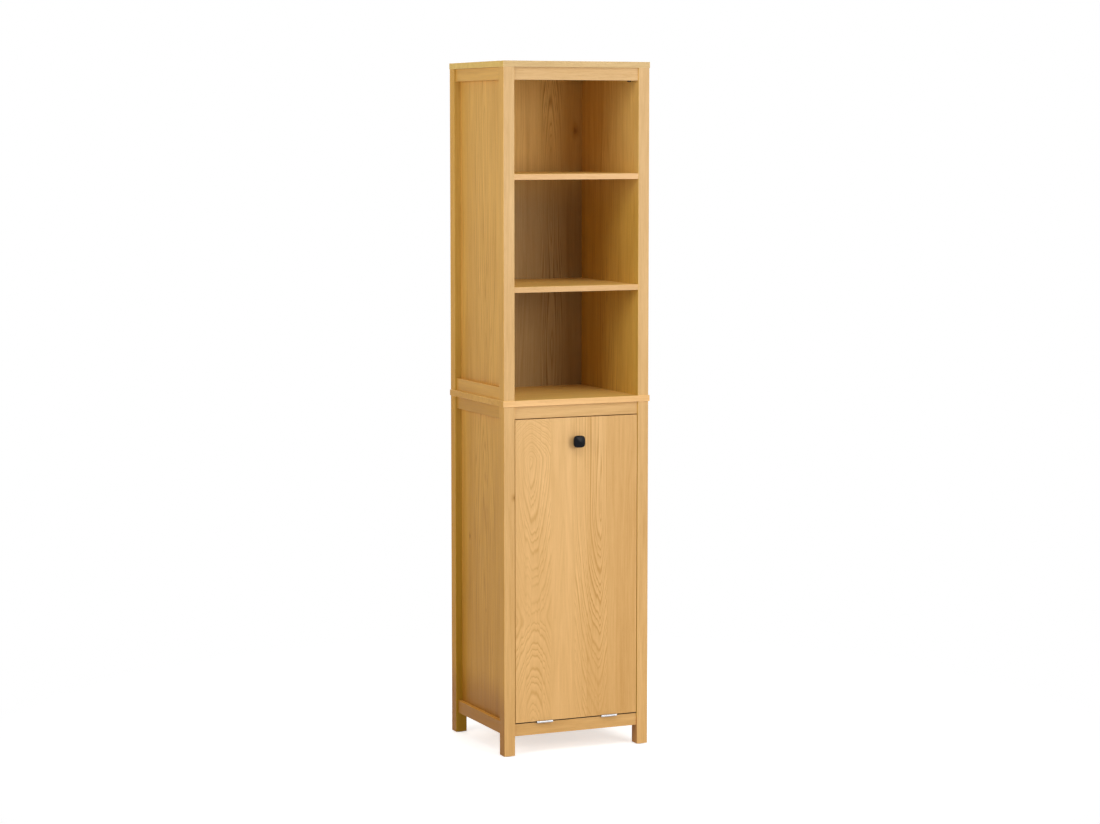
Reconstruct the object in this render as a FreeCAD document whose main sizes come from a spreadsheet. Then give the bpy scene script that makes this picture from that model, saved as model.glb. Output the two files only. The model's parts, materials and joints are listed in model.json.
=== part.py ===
import FreeCAD, Part
import math
import os
import Sketcher

# Tall two-part bathroom cabinet: an open shelf unit on a base unit with a tilt-out laundry door.
# Millimetres. +Z is up and the front faces -Y. The origin is at the bottom centre of the
# overall box, whose front is the face of the knob and whose back is the back of the posts.

SIZES = {
    # overall and boards
    "width": 395,
    "depth": 345,
    "height": 1720,
    "post": 29.5,
    "board": 15,
    "middle_top": 890,
    "middle_overhang": 2.5,
    "top_overhang": 1,
    "post_edge": 1.2,
    "board_edge": 0.8,
    # rails
    "rail_height": 31,
    "side_rail_recess": 5,
    "front_rail_recess": 4,
    "front_rail_thickness": 18,
    "apron_bottom": 50,
    "side_rail_bottom": 53,
    # panels, floor and shelves
    "panel": 12,
    "tongue": 4,
    "tongue_depth": 6,
    "groove_clearance": 0.1,
    "back_panel": 4,
    "back_setback": 4.5,
    "shelf": 14,
    "shelf_setback": 1,
    "upper_shelf_top": 1445,
    "lower_shelf_top": 1169,
    "floor_board": 12,
    "floor_top": 78,
    # dowels
    "post_dowel": 8,
    "post_dowel_depth": 20,
    "board_dowel_depth": 10,
    "rail_dowel": 6,
    "rail_dowel_in_post": 10,
    "rail_dowel_in_rail": 15,
    "shelf_dowel_in_panel": 8,
    "shelf_dowel_in_shelf": 14,
    "shelf_dowel_inset": 60,
    "dowel_fit": 0.05,
    # door
    "door": 15,
    "door_recess": 1,
    "door_side_gap": 1.3,
    "door_top_gap": 2,
    "hinge_gap": 2.5,
    "tilt": 32,
    # knob
    "knob_size": 30,
    "knob_corner": 7,
    "knob_rim": 8,
    "knob_peak": 4,
    "knob_tip": 1.2,
    "knob_stem": 12,
    "knob_stem_length": 12,
    "knob_drop": 59,
    "knob_screw": 4,
    "knob_screw_bite": 9,
    "knob_screw_head": 8,
    "knob_screw_head_height": 2.5,
    "knob_screw_clearance": 0.2,
    # butt hinges
    "hinge_length": 43,
    "hinge_spacing": 177,
    "hinge_ahead": 3,
    "knuckle": 6,
    "knuckle_gap": 0.3,
    "hinge_pin": 2.4,
    "pin_clearance": 0.05,
    "leaf": 1.2,
    "leaf_depth": 13,
    "leaf_screw_spacing": 26,
    # small countersunk screws
    "screw": 2.8,
    "screw_head": 5.2,
    "screw_head_height": 1.1,
    "screw_bite": 11,
    # stay arms
    "stay_height": 350,
    "stay_offset": 13,
    "stay_rest_angle": 10,
    "stay_inset": 16,
    "stay_arm": 2,
    "stay_arm_width": 16,
    "stay_play": 0.3,
    "stay_rivet": 4,
    "stay_rivet_head": 8,
    "stay_rivet_head_height": 1.5,
    "stay_stud": 5,
    "stay_stud_head": 11,
    "stay_stud_collar": 10,
    "stay_stud_bite": 9,
    "bracket": 2,
    "bracket_width": 12,
    "bracket_height": 40,
    "bracket_screw_spacing": 26,
    # magnetic catches and strike plates
    "catch_width": 14,
    "catch_depth": 15,
    "catch_height": 40,
    "catch_top": 830,
    "catch_gap": 0.3,
    "catch_screw_bite": 8,
    "catch_screw_spacing": 33,
    "magnet_width": 8,
    "magnet_height": 24,
    "magnet_depth": 9,
    "strike": 2,
    # laundry bag and its hoop
    "hoop_wire": 5,
    "hoop_width": 260,
    "hoop_depth": 240,
    "hoop_corner": 20,
    "hoop_height": 660,
    "hoop_stand_off": 10,
    "tab_width": 24,
    "tab_height": 34,
    "tab": 2,
    "tab_spacing": 160,
    "bag_cloth": 1.5,
    "bag_hem": 12,
    "bag_clearance": 0.3,
    "bag_drop": 600,
    # corner blocks
    "block": 20,
    "block_height": 22,
    "block_boss": 9,
    "block_boss_length": 12,
    "block_bore": 7,
    "block_bore_offset": 5,
    "block_web": 8,
    "block_screw_head_height": 2,
    "block_screw_bite": 9,
    # wall bracket
    "wall_plate": 2,
    "wall_plate_width": 40,
    "wall_plate_leg": 25,
    "wall_screw_hole": 5,
    "wall_hole_drop": 15,
    "wall_screw_spacing": 24,
    # glides under the posts
    "glide": 22,
    "glide_height": 2,
    "glide_nail": 3,
    "glide_nail_length": 14,
}

doc = FreeCAD.newDocument("TallBathroomCabinet")
sheet = doc.addObject("Spreadsheet::Sheet", "Sizes")
for row, (alias, value) in enumerate(SIZES.items(), start=1):
    sheet.set(f"A{row}", alias)
    sheet.set(f"B{row}", str(value))
    sheet.setAlias(f"B{row}", alias)
doc.recompute()


class Size:
    """A length, angle or ratio: its expression over the sheet, and its present value."""

    def __init__(self, text, value):
        self.text = text
        self.value = value

    @staticmethod
    def of(other):
        if isinstance(other, Size):
            return other
        return Size(repr(other), other)

    def __add__(self, other):
        other = Size.of(other)
        return Size(f"({self.text} + {other.text})", self.value + other.value)

    def __sub__(self, other):
        other = Size.of(other)
        return Size(f"({self.text} - {other.text})", self.value - other.value)

    def __mul__(self, other):
        other = Size.of(other)
        return Size(f"({self.text} * {other.text})", self.value * other.value)

    def __truediv__(self, other):
        other = Size.of(other)
        return Size(f"({self.text} / {other.text})", self.value / other.value)

    def __rmul__(self, other):
        return Size.of(other) * self

    def __neg__(self):
        return Size(f"(0 - {self.text})", -self.value)

    def __lt__(self, other):
        return self.value < other.value


def cell(alias):
    return Size(f"Sizes.{alias}", float(sheet.get(alias)))


def sine(degrees):
    return Size(f"sin({degrees.text})", math.sin(math.radians(degrees.value)))


def cosine(degrees):
    return Size(f"cos({degrees.text})", math.cos(math.radians(degrees.value)))


def arctangent(ratio):
    return Size(f"(atan({ratio.text}) / 1 deg)", math.degrees(math.atan(ratio.value)))


def square_root(size):
    return Size(f"sqrt({size.text})", math.sqrt(size.value))


ZERO = Size("0", 0.0)
AXES = "xyz"

# By the axis a sketch faces: its plane's role, the axes it is drawn along, and the way it faces.
PLANES = {
    "z": ("XY_Plane", "xy", "+"),
    "y": ("XZ_Plane", "xz", "-"),
    "x": ("YZ_Plane", "yz", "+"),
}

pieces = []


def bind(thing, **sizes):
    for name, size in sizes.items():
        thing.setExpression(name.replace("__", "."), Size.of(size).text)


class Solid:
    """A PartDesign body placed at its own low corner, drawn in the cabinet's coordinates."""

    def __init__(self, name, low):
        self.low = low
        self.body = doc.addObject("PartDesign::Body", name)
        self.body.Label = name
        bind(self.body, Placement__Base__x=low[0], Placement__Base__y=low[1], Placement__Base__z=low[2])
        self.planes = {plane.Role: plane for plane in self.body.Origin.OriginFeatures}
        pieces.append(self.body)

    def sketch(self, normal, level):
        role, _, facing = PLANES[normal]
        sketch = self.body.newObject("Sketcher::SketchObject", f"{self.body.Name}_sketch")
        sketch.AttachmentSupport = [(self.planes[role], "")]
        sketch.MapMode = "FlatFace"
        rise = level - self.low[AXES.index(normal)]
        bind(sketch, AttachmentOffset__Base__z=rise if facing == "+" else -rise)
        return sketch

    def local(self, normal, u, v):
        first, second = (self.low[AXES.index(axis)] for axis in PLANES[normal][1])
        return u - first, v - second

    def pad(self, normal, start, end, draw):
        """Adds the drawn outline from start up to end along the normal's axis."""
        sketch = self.sketch(normal, start)
        draw(sketch, lambda u, v: self.local(normal, u, v))
        pad = self.body.newObject("PartDesign::Pad", f"{self.body.Name}_pad")
        pad.Profile = sketch
        pad.Reversed = PLANES[normal][-1] == "-"
        bind(pad, Length=end - start)
        return pad

    def cut(self, normal, start, end, draw):
        """Takes the drawn outline away from start towards end along the normal's axis."""
        sketch = self.sketch(normal, start)
        draw(sketch, lambda u, v: self.local(normal, u, v))
        pocket = self.body.newObject("PartDesign::Pocket", f"{self.body.Name}_pocket")
        pocket.Profile = sketch
        upward = start < end
        pocket.Reversed = upward == (PLANES[normal][-1] == "+")
        bind(pocket, Length=(end - start) if upward else (start - end))
        return pocket

    def bores(self, normal, start, end, centres, diameter):
        return self.cut(normal, start, end, circles(centres, diameter))

    def ease(self, radius, along):
        """Rounds every straight edge that runs along the given axes."""
        doc.recompute()
        base = self.body.Tip
        names = []
        for index, edge in enumerate(base.Shape.Edges, start=1):
            line = edge.Vertexes[-1].Point - edge.Vertexes[0].Point
            shares = [abs(line[AXES.index(axis)]) for axis in along]
            if line.Length > 0 and abs(max(shares) - line.Length) < 1e-6:
                names.append(f"Edge{index}")
        fillet = self.body.newObject("PartDesign::Fillet", f"{self.body.Name}_edges")
        fillet.Base = (base, names)
        bind(fillet, Radius=radius)
        return fillet


def fix(sketch, kind, *target, size):
    index = sketch.addConstraint(Sketcher.Constraint(kind, *target, max(size.value, 0.001)))
    sketch.setExpression(f"Constraints[{index}]", size.text)


def fix_point(sketch, geometry, vertex, u, v):
    """Holds a point at signed distances from the sketch's origin."""
    for kind, size in (("DistanceX", u), ("DistanceY", v)):
        index = sketch.addConstraint(Sketcher.Constraint(kind, -1, 1, geometry, vertex, size.value))
        sketch.setExpression(f"Constraints[{index}]", size.text)


def rectangle(u0, u1, v0, v1):
    def draw(sketch, local):
        low = local(u0, v0)
        high = local(u1, v1)
        corners = [
            FreeCAD.Vector(low[0].value, low[1].value, 0),
            FreeCAD.Vector(high[0].value, low[1].value, 0),
            FreeCAD.Vector(high[0].value, high[1].value, 0),
            FreeCAD.Vector(low[0].value, high[1].value, 0),
        ]
        lines = [Part.LineSegment(corners[i], corners[(i + 1) % 4]) for i in range(4)]
        first = sketch.addGeometry(lines, False)[0]
        for i in range(4):
            after = first + (i + 1) % 4
            sketch.addConstraint(Sketcher.Constraint("Coincident", first + i, 2, after, 1))
            kind = "Horizontal" if i % 2 == 0 else "Vertical"
            sketch.addConstraint(Sketcher.Constraint(kind, first + i))
        fix_point(sketch, first, 1, *low)
        fix(sketch, "DistanceX", first, 1, first, 2, size=u1 - u0)
        fix(sketch, "DistanceY", first + 1, 1, first + 1, 2, size=v1 - v0)

    return draw


def rounded_rectangle(u0, u1, v0, v1, radius):
    def draw(sketch, local):
        low = local(u0, v0)
        high = local(u1, v1)
        left, bottom = low[0].value, low[1].value
        right, top = high[0].value, high[1].value
        r = radius.value
        turns = [
            (right - r, bottom + r, -90),
            (right - r, top - r, 0),
            (left + r, top - r, 90),
            (left + r, bottom + r, 180),
        ]
        ends = [
            ((left + r, bottom), (right - r, bottom)),
            ((right, bottom + r), (right, top - r)),
            ((right - r, top), (left + r, top)),
            ((left, top - r), (left, bottom + r)),
        ]
        shapes = []
        for (start, end), (cu, cv, angle) in zip(ends, turns):
            shapes.append(Part.LineSegment(FreeCAD.Vector(*start, 0), FreeCAD.Vector(*end, 0)))
            circle = Part.Circle(FreeCAD.Vector(cu, cv, 0), FreeCAD.Vector(0, 0, 1), r)
            shapes.append(Part.ArcOfCircle(circle, math.radians(angle), math.radians(angle + 90)))
        first = sketch.addGeometry(shapes, False)[0]
        for i in range(8):
            after = first + (i + 1) % 8
            sketch.addConstraint(Sketcher.Constraint("Tangent", first + i, 2, after, 1))
        for i in (0, 2, 4, 6):
            kind = "Horizontal" if i % 4 == 0 else "Vertical"
            sketch.addConstraint(Sketcher.Constraint(kind, first + i))
        for i in (3, 5, 7):
            sketch.addConstraint(Sketcher.Constraint("Equal", first + 1, first + i))
        fix(sketch, "Radius", first + 1, size=radius)
        fix_point(sketch, first, 1, low[0] + radius, low[1])
        fix(sketch, "DistanceX", first, 1, first, 2, size=u1 - u0 - 2 * radius)
        fix(sketch, "DistanceY", first + 2, 1, first + 2, 2, size=v1 - v0 - 2 * radius)

    return draw


def circles(centres, diameter):
    def draw(sketch, local):
        for centre in centres:
            u, v = local(*centre)
            middle = FreeCAD.Vector(u.value, v.value, 0)
            circle = Part.Circle(middle, FreeCAD.Vector(0, 0, 1), diameter.value / 2)
            index = sketch.addGeometry(circle, False)
            fix(sketch, "Radius", index, size=diameter / 2)
            fix_point(sketch, index, 3, u, v)

    return draw


def board(name, xs, ys, zs, radius=None, along="xyz"):
    """A rectangular board between two levels on each axis, with its edges eased."""
    (x0, x1), (y0, y1), (z0, z1) = sorted(xs), sorted(ys), sorted(zs)
    solid = Solid(name, (x0, y0, z0))
    solid.pad("z", z0, z1, rectangle(x0, x1, y0, y1))
    if radius is not None:
        solid.ease(radius, along)
    return solid


# Rotations that turn a primitive's +Z onto each direction.
TURNS = {
    "+x": (FreeCAD.Vector(0, 1, 0), 90),
    "-x": (FreeCAD.Vector(0, 1, 0), -90),
    "+y": (FreeCAD.Vector(1, 0, 0), -90),
    "-y": (FreeCAD.Vector(1, 0, 0), 90),
    "+z": (FreeCAD.Vector(0, 0, 1), 0),
    "-z": (FreeCAD.Vector(1, 0, 0), 180),
}


def place(thing, at, towards="+z"):
    thing.Placement.Rotation = FreeCAD.Rotation(*TURNS[towards])
    bind(thing, Placement__Base__x=at[0], Placement__Base__y=at[1], Placement__Base__z=at[2])
    return thing


def box(xs, ys, zs):
    low = [min(span) for span in (xs, ys, zs)]
    high = [max(span) for span in (xs, ys, zs)]
    thing = doc.addObject("Part::Box", "box")
    bind(thing, Length=high[0] - low[0], Width=high[1] - low[1], Height=high[2] - low[2])
    return place(thing, low)


def rod(at, towards, length, diameter):
    thing = doc.addObject("Part::Cylinder", "rod")
    bind(thing, Radius=diameter / 2, Height=length)
    return place(thing, at, towards)


def taper(at, towards, length, diameter, end_diameter):
    thing = doc.addObject("Part::Cone", "taper")
    bind(thing, Radius1=diameter / 2, Radius2=end_diameter / 2, Height=length)
    return place(thing, at, towards)


def fuse(parts, name="fuse"):
    thing = doc.addObject("Part::MultiFuse", name)
    thing.Shapes = parts
    thing.Refine = True
    return thing


def cut(base, tools, name="cut"):
    thing = doc.addObject("Part::Cut", name)
    thing.Base = base
    thing.Tool = tools[0] if len(tools) == 1 else fuse(tools)
    thing.Refine = True
    return thing


def keep(thing, name):
    """Makes one object, or several alike as separate solids, a piece of its own."""
    if isinstance(thing, list):
        group = doc.addObject("Part::Compound", name)
        group.Links = thing
        thing = group
    thing.Label = name
    pieces.append(thing)
    return thing


def flat_screw(at, towards, length):
    """A countersunk screw whose head's face lies at the given point."""
    head = taper(at, towards, cell("screw_head_height"), cell("screw_head"), cell("screw"))
    return fuse([head, rod(at, towards, length, cell("screw"))])


# Levels across, front to back and up that the pieces share.
x_out = cell("width") / 2
x_in = x_out - cell("post")
x_panel = x_in + cell("panel")
x_post = (x_out + x_in) / 2
x_side_rail = (x_out - cell("side_rail_recess") + x_panel) / 2
knob_reach = cell("knob_stem_length") + cell("knob_rim") + cell("knob_peak")
ahead = knob_reach - cell("door_recess")
y_front = (ahead - cell("depth")) / 2
y_back = (ahead + cell("depth")) / 2
y_front_in = y_front + cell("post")
y_back_in = y_back - cell("post")
y_posts = {"front": (y_front + y_front_in) / 2, "back": (y_back + y_back_in) / 2}
y_rail = y_front + cell("front_rail_recess")
y_rail_back = y_rail + cell("front_rail_thickness")
y_rail_middle = (y_rail + y_rail_back) / 2
y_panel_out = y_back - cell("back_setback")
y_panel_in = y_panel_out - cell("back_panel")
z_post = cell("glide_height")
z_top = cell("height") - cell("board")
z_middle = cell("middle_top") - cell("board")
z_middle_top = cell("middle_top")
rail = cell("rail_height")
z_apron_top = cell("apron_bottom") + rail
z_door = z_apron_top + cell("hinge_gap")
z_door_top = z_middle - rail - cell("door_top_gap")
x_door = x_in - cell("door_side_gap")
y_door = y_front + cell("door_recess")
y_door_in = y_door + cell("door")
y_hinge = y_door - cell("hinge_ahead")
z_hinge = z_apron_top + cell("hinge_gap") / 2
y_leaf = y_hinge + cell("knuckle") / 2 + cell("knuckle_gap")
y_leaf_screw = y_leaf + cell("leaf_depth") / 2

SIDES = {"left": -1, "right": 1}
side_rail_levels = {
    "lower_side_top_rail": (z_middle - rail, z_middle),
    "lower_side_bottom_rail": (cell("side_rail_bottom"), cell("side_rail_bottom") + rail),
    "upper_side_top_rail": (z_top - rail, z_top),
    "upper_side_bottom_rail": (z_middle_top, z_middle_top + rail),
}
front_rail_levels = {
    "lower_front_top_rail": (z_middle - rail, z_middle),
    "lower_front_bottom_rail": (cell("apron_bottom"), z_apron_top),
    "upper_front_top_rail": (z_top - rail, z_top),
}
unit_levels = {"lower": (z_post, z_middle), "upper": (z_middle_top, z_top)}
panel_levels = {"lower": (cell("side_rail_bottom"), z_middle), "upper": (z_middle_top, z_top)}
tongue_low = x_in + (cell("panel") - cell("tongue")) / 2
tongue_high = tongue_low + cell("tongue")
groove_slack = cell("groove_clearance")
dowel_slack = cell("dowel_fit") * 2
end_slack = cell("dowel_fit") * 10


def middle(span):
    return (span[0] + span[1]) / 2


# The corner blocks' screws go into the side panels in front and into the posts at the back.
block_tops = {"lower": z_middle, "upper": z_top}
y_blocks = {"front": y_front_in + cell("block") / 2, "back": y_panel_in - cell("block") / 2}
x_block = x_in - cell("block") / 2

# Magnetic catches behind the door's top corners, on the front posts' inner faces.
catch_middle = cell("catch_top") - cell("catch_height") / 2
y_catch = y_door_in + cell("strike") + cell("catch_gap")
y_catch_middle = y_catch + cell("catch_depth") / 2
x_catch = x_in - cell("catch_width")
x_magnet = x_in - cell("catch_width") / 2
catch_screw_levels = [catch_middle + sign * cell("catch_screw_spacing") / 2 for sign in (-1, 1)]
catch_screw_centres = [(y_catch_middle, z) for z in catch_screw_levels]


def block_screw_centre(unit, end):
    return y_blocks[end] + cell("block_bore_offset"), block_tops[unit] - cell("block_height") / 2


# Posts: square legs with dowel holes in their ends, dowel holes for the rails, and grooves
# for the tongued side panels and, in the back posts, for the back panel.
for unit, (low, high) in unit_levels.items():
    panel_low, panel_high = panel_levels[unit]
    for end, y_post in y_posts.items():
        for side, sign in SIDES.items():
            ys = (y_front, y_front_in) if end == "front" else (y_back_in, y_back)
            face = ys[1] if end == "front" else ys[0]
            outward = -1 if end == "front" else 1
            name = f"{unit}_post_{end}_{side}"
            post = board(name, (sign * x_in, sign * x_out), ys, (low, high), cell("post_edge"), "z")
            centre = [(sign * x_post, y_post)]
            hole = cell("post_dowel") + dowel_slack
            deep = cell("post_dowel_depth") + end_slack
            post.bores("z", high, high - deep, centre, hole)
            if unit == "upper":
                post.bores("z", low, low + deep, centre, hole)
            else:
                nail_deep = cell("glide_nail_length") + end_slack
                post.bores("z", low, low + nail_deep, centre, cell("glide_nail"))
            levels = [span for rail_name, span in side_rail_levels.items() if rail_name.startswith(unit)]
            centres = [(sign * x_side_rail, middle(span)) for span in levels]
            hole = cell("rail_dowel") + dowel_slack
            deep = cell("rail_dowel_in_post")
            post.bores("y", face, face + outward * deep, centres, hole)
            groove = rectangle(
                *sorted((sign * (tongue_low - groove_slack), sign * (tongue_high + groove_slack))),
                panel_low,
                panel_high,
            )
            post.cut("y", face, face + outward * cell("tongue_depth"), groove)
            face = sign * x_in
            if end == "front":
                levels = [span for rail_name, span in front_rail_levels.items() if rail_name.startswith(unit)]
                centres = [(y_rail_middle, middle(span)) for span in levels]
                post.bores("x", face, face + sign * deep, centres, hole)
                if unit == "lower":
                    deep = cell("catch_screw_bite")
                    post.bores("x", face, face + sign * deep, catch_screw_centres, cell("screw"))
            else:
                centres = [block_screw_centre(unit, end)]
                deep = cell("block_screw_bite")
                post.bores("x", face, face + sign * deep, centres, cell("screw"))
                groove_span = (y_panel_in - groove_slack, y_panel_out + groove_slack)
                groove = rectangle(*groove_span, panel_low, panel_high)
                post.cut("x", face, face + sign * cell("tongue_depth"), groove)

# Side rails between the front and back posts, outside the side panels, a little behind the
# posts' outer faces.
rail_dowels = []
dowel_length = cell("rail_dowel_in_post") + cell("rail_dowel_in_rail") - end_slack
for name, (low, high) in side_rail_levels.items():
    for side, sign in SIDES.items():
        xs = (sign * x_panel, sign * (x_out - cell("side_rail_recess")))
        piece = board(f"{name}_{side}", xs, (y_front_in, y_back_in), (low, high), cell("board_edge"), "y")
        centre = (sign * x_side_rail, middle((low, high)))
        for face, inward in ((y_front_in, 1), (y_back_in, -1)):
            deep = inward * cell("rail_dowel_in_rail")
            piece.bores("y", face, face + deep, [centre], cell("rail_dowel") + dowel_slack)
            start = face - inward * cell("rail_dowel_in_post")
            towards = "+y" if inward > 0 else "-y"
            rail_dowels.append(rod((centre[0], start, centre[1]), towards, dowel_length, cell("rail_dowel")))

# Front rails between the front posts.
for name, (low, high) in front_rail_levels.items():
    piece = board(name, (-x_in, x_in), (y_rail, y_rail_back), (low, high), cell("board_edge"), "x")
    centre = (y_rail_middle, middle((low, high)))
    if name == "lower_front_bottom_rail":
        leaf_screws = []
        for hinge_sign in (-1, 1):
            for screw_sign in (-1, 1):
                x = hinge_sign * cell("hinge_spacing") / 2 + screw_sign * cell("leaf_screw_spacing") / 2
                leaf_screws.append((x, y_leaf_screw))
        piece.bores("z", high, high - cell("screw_bite"), leaf_screws, cell("screw"))
    for face, inward in ((-x_in, 1), (x_in, -1)):
        deep = inward * cell("rail_dowel_in_rail")
        piece.bores("x", face, face + deep, [centre], cell("rail_dowel") + dowel_slack)
        start = face - inward * cell("rail_dowel_in_post")
        towards = "+x" if inward > 0 else "-x"
        rail_dowels.append(rod((start, *centre), towards, dowel_length, cell("rail_dowel")))
keep(rail_dowels, "rail_dowels")

# Corner blocks in the inner top corners of both units, screwed up into the board above and
# sideways into the panel or post. The front ones have a round boss down to their upright screw.
blocks = []
block_screws = []
board_screw_centres = []
for unit, top in block_tops.items():
    z_block = top - cell("block_height")
    for end, y in y_blocks.items():
        y_up = y - cell("block_bore_offset")
        y_across, z_side_screw = block_screw_centre(unit, end)
        for sign in SIDES.values():
            body = box(
                (sign * (x_in - cell("block")), sign * x_in),
                (y - cell("block") / 2, y + cell("block") / 2),
                (z_block, top),
            )
            shaft = cell("block_height") - cell("block_web")
            if end == "front":
                foot = (sign * x_block, y_up, z_block)
                body = fuse([body, rod(foot, "-z", cell("block_boss_length"), cell("block_boss"))])
                shaft = shaft + cell("block_boss_length")
            seat_up = (sign * x_block, y_up, top - cell("block_web"))
            seat_across = (sign * (x_in - cell("block_web")), y_across, z_side_screw)
            outward = "+x" if sign > 0 else "-x"
            inward = "-x" if sign > 0 else "+x"
            length = cell("block_web") + cell("block_screw_bite")
            holes = []
            for seat, towards, back, depth in (
                (seat_up, "+z", "-z", shaft),
                (seat_across, outward, inward, cell("block") - cell("block_web")),
            ):
                holes.append(rod(seat, back, depth, cell("block_bore")))
                holes.append(rod(seat, towards, cell("block_web"), cell("screw")))
                head = rod(seat, back, cell("block_screw_head_height"), cell("screw_head"))
                block_screws.append(fuse([head, rod(seat, towards, length, cell("screw"))]))
            blocks.append(cut(body, holes))
            if unit == "upper":
                board_screw_centres.append((sign * x_block, y_up))
keep(blocks, "corner_blocks")
keep(block_screws, "corner_block_screws")

# Top board and middle board; the middle board is also the floor of the open shelf unit.
post_centres = [(sign * x_post, y) for y in y_posts.values() for sign in SIDES.values()]
y_wall_screw = y_panel_in - cell("wall_hole_drop")
wall_screw_centres = [(sign * cell("wall_screw_spacing") / 2, y_wall_screw) for sign in (-1, 1)]
dowel_hole = cell("post_dowel") + dowel_slack
overhang = cell("top_overhang")
piece = board(
    "top_board",
    (-(x_out + overhang), x_out + overhang),
    (y_front - overhang, y_back),
    (z_top, cell("height")),
    cell("board_edge"),
)
piece.bores("z", z_top, z_top + cell("board_dowel_depth") + end_slack, post_centres, dowel_hole)
piece.bores("z", z_top, z_top + cell("block_screw_bite"), board_screw_centres, cell("screw"))
piece.bores("z", z_top, z_top + cell("screw_bite"), wall_screw_centres, cell("screw"))
overhang = cell("middle_overhang")
piece = board(
    "middle_board",
    (-(x_out + overhang), x_out + overhang),
    (y_front - overhang, y_back),
    (z_middle, z_middle_top),
    cell("board_edge"),
)
piece.bores("z", z_middle, z_middle_top, post_centres, dowel_hole)
piece.bores("z", z_middle, z_middle + cell("block_screw_bite"), board_screw_centres, cell("screw"))

# Dowels through the middle board that join the posts of both units, and into the top board.
post_dowels = []
for x, y in post_centres:
    length = 2 * cell("post_dowel_depth") + cell("board")
    post_dowels.append(rod((x, y, z_middle - cell("post_dowel_depth")), "+z", length, cell("post_dowel")))
    length = cell("post_dowel_depth") + cell("board_dowel_depth")
    post_dowels.append(rod((x, y, z_top - cell("post_dowel_depth")), "+z", length, cell("post_dowel")))
keep(post_dowels, "post_dowels")

# Two shelves and the floor of the base unit, dowelled into the side panels.
y_dowels = (y_front_in + cell("shelf_dowel_inset"), y_panel_in - cell("shelf_dowel_inset"))
flat_boards = {
    "upper_shelf": (cell("upper_shelf_top"), cell("shelf"), y_front + cell("shelf_setback")),
    "lower_shelf": (cell("lower_shelf_top"), cell("shelf"), y_front + cell("shelf_setback")),
    "floor_board": (cell("floor_top"), cell("floor_board"), y_rail_back),
}
shelf_dowels = []
panel_dowel_centres = {"lower": [], "upper": []}
for name, (top, thickness, front) in flat_boards.items():
    unit = "lower" if name == "floor_board" else "upper"
    piece = board(name, (-x_in, x_in), (front, y_panel_in), (top - thickness, top), cell("board_edge"), "x")
    centres = [(y, top - thickness / 2) for y in y_dowels]
    panel_dowel_centres[unit] += centres
    length = cell("shelf_dowel_in_panel") + cell("shelf_dowel_in_shelf") - end_slack
    for sign, towards in ((-1, "+x"), (1, "-x")):
        face = sign * x_in
        deep = sign * cell("shelf_dowel_in_shelf")
        piece.bores("x", face, face - deep, centres, cell("rail_dowel") + dowel_slack)
        start = face + sign * cell("shelf_dowel_in_panel")
        for y, z in centres:
            shelf_dowels.append(rod((start, y, z), towards, length, cell("rail_dowel")))
keep(shelf_dowels, "shelf_dowels")

# Stay arms: the arm's pivot on the door and its stud on the side panel lie at the same
# distance from the hinge axis, so the arm turns on the door by exactly half the door's tilt.
y_pivot = y_door_in + cell("stay_offset")
z_pivot = z_hinge + cell("stay_height")
pivot_depth = y_pivot - y_hinge
pivot_rise = cell("stay_height")
stay_radius = square_root(pivot_depth * pivot_depth + pivot_rise * pivot_rise)
pivot_angle = arctangent(pivot_depth / pivot_rise)
stud_angle = pivot_angle + cell("stay_rest_angle")
y_stud = y_hinge + stay_radius * sine(stud_angle)
z_stud = z_hinge + stay_radius * cosine(stud_angle)
slot_start = 2 * stay_radius * sine(cell("stay_rest_angle") / 2)
slot_end = 2 * stay_radius * sine((cell("stay_rest_angle") + cell("tilt")) / 2)
x_arm = x_in - cell("stay_inset")
x_arm_in = x_arm - cell("stay_arm")
x_ear = x_arm + cell("stay_play")
x_ear_out = x_ear + cell("bracket")
x_bracket_out = x_ear + cell("bracket_width")
x_arm_seat = x_arm_in - cell("stay_play")

# Side panels, tongued into the posts, flush with the posts' inner faces.
for unit, (low, high) in panel_levels.items():
    for side, sign in SIDES.items():
        xs = sorted((sign * x_in, sign * x_panel))
        tongues = sorted((sign * tongue_low, sign * tongue_high))
        reach = cell("tongue_depth") - groove_slack
        piece = Solid(f"{unit}_side_panel_{side}", (xs[0], y_front_in - reach, low))
        piece.pad("z", low, high, rectangle(*xs, y_front_in, y_back_in))
        piece.pad("z", low, high, rectangle(*tongues, y_front_in - reach, y_back_in + reach))
        face = sign * x_in
        deep = sign * cell("shelf_dowel_in_panel")
        piece.bores("x", face, face + deep, panel_dowel_centres[unit], cell("rail_dowel") + dowel_slack)
        deep = sign * cell("block_screw_bite")
        piece.bores("x", face, face + deep, [block_screw_centre(unit, "front")], cell("screw"))
        if unit == "lower":
            deep = sign * cell("catch_screw_bite")
            piece.bores("x", face, face + deep, catch_screw_centres, cell("screw"))
            deep = sign * cell("stay_stud_bite")
            piece.bores("x", face, face + deep, [(y_stud, z_stud)], cell("stay_rivet"))

# Back panels, held in the back posts' grooves.
z_wall_hole = z_top - cell("wall_hole_drop")
for unit, (low, high) in panel_levels.items():
    reach = x_in + cell("tongue_depth") - groove_slack
    piece = board(f"{unit}_back_panel", (-reach, reach), (y_panel_in, y_panel_out), (low, high))
    if unit == "upper":
        piece.bores("y", y_panel_in, y_panel_out, [(ZERO, z_wall_hole)], cell("wall_screw_hole"))

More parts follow.
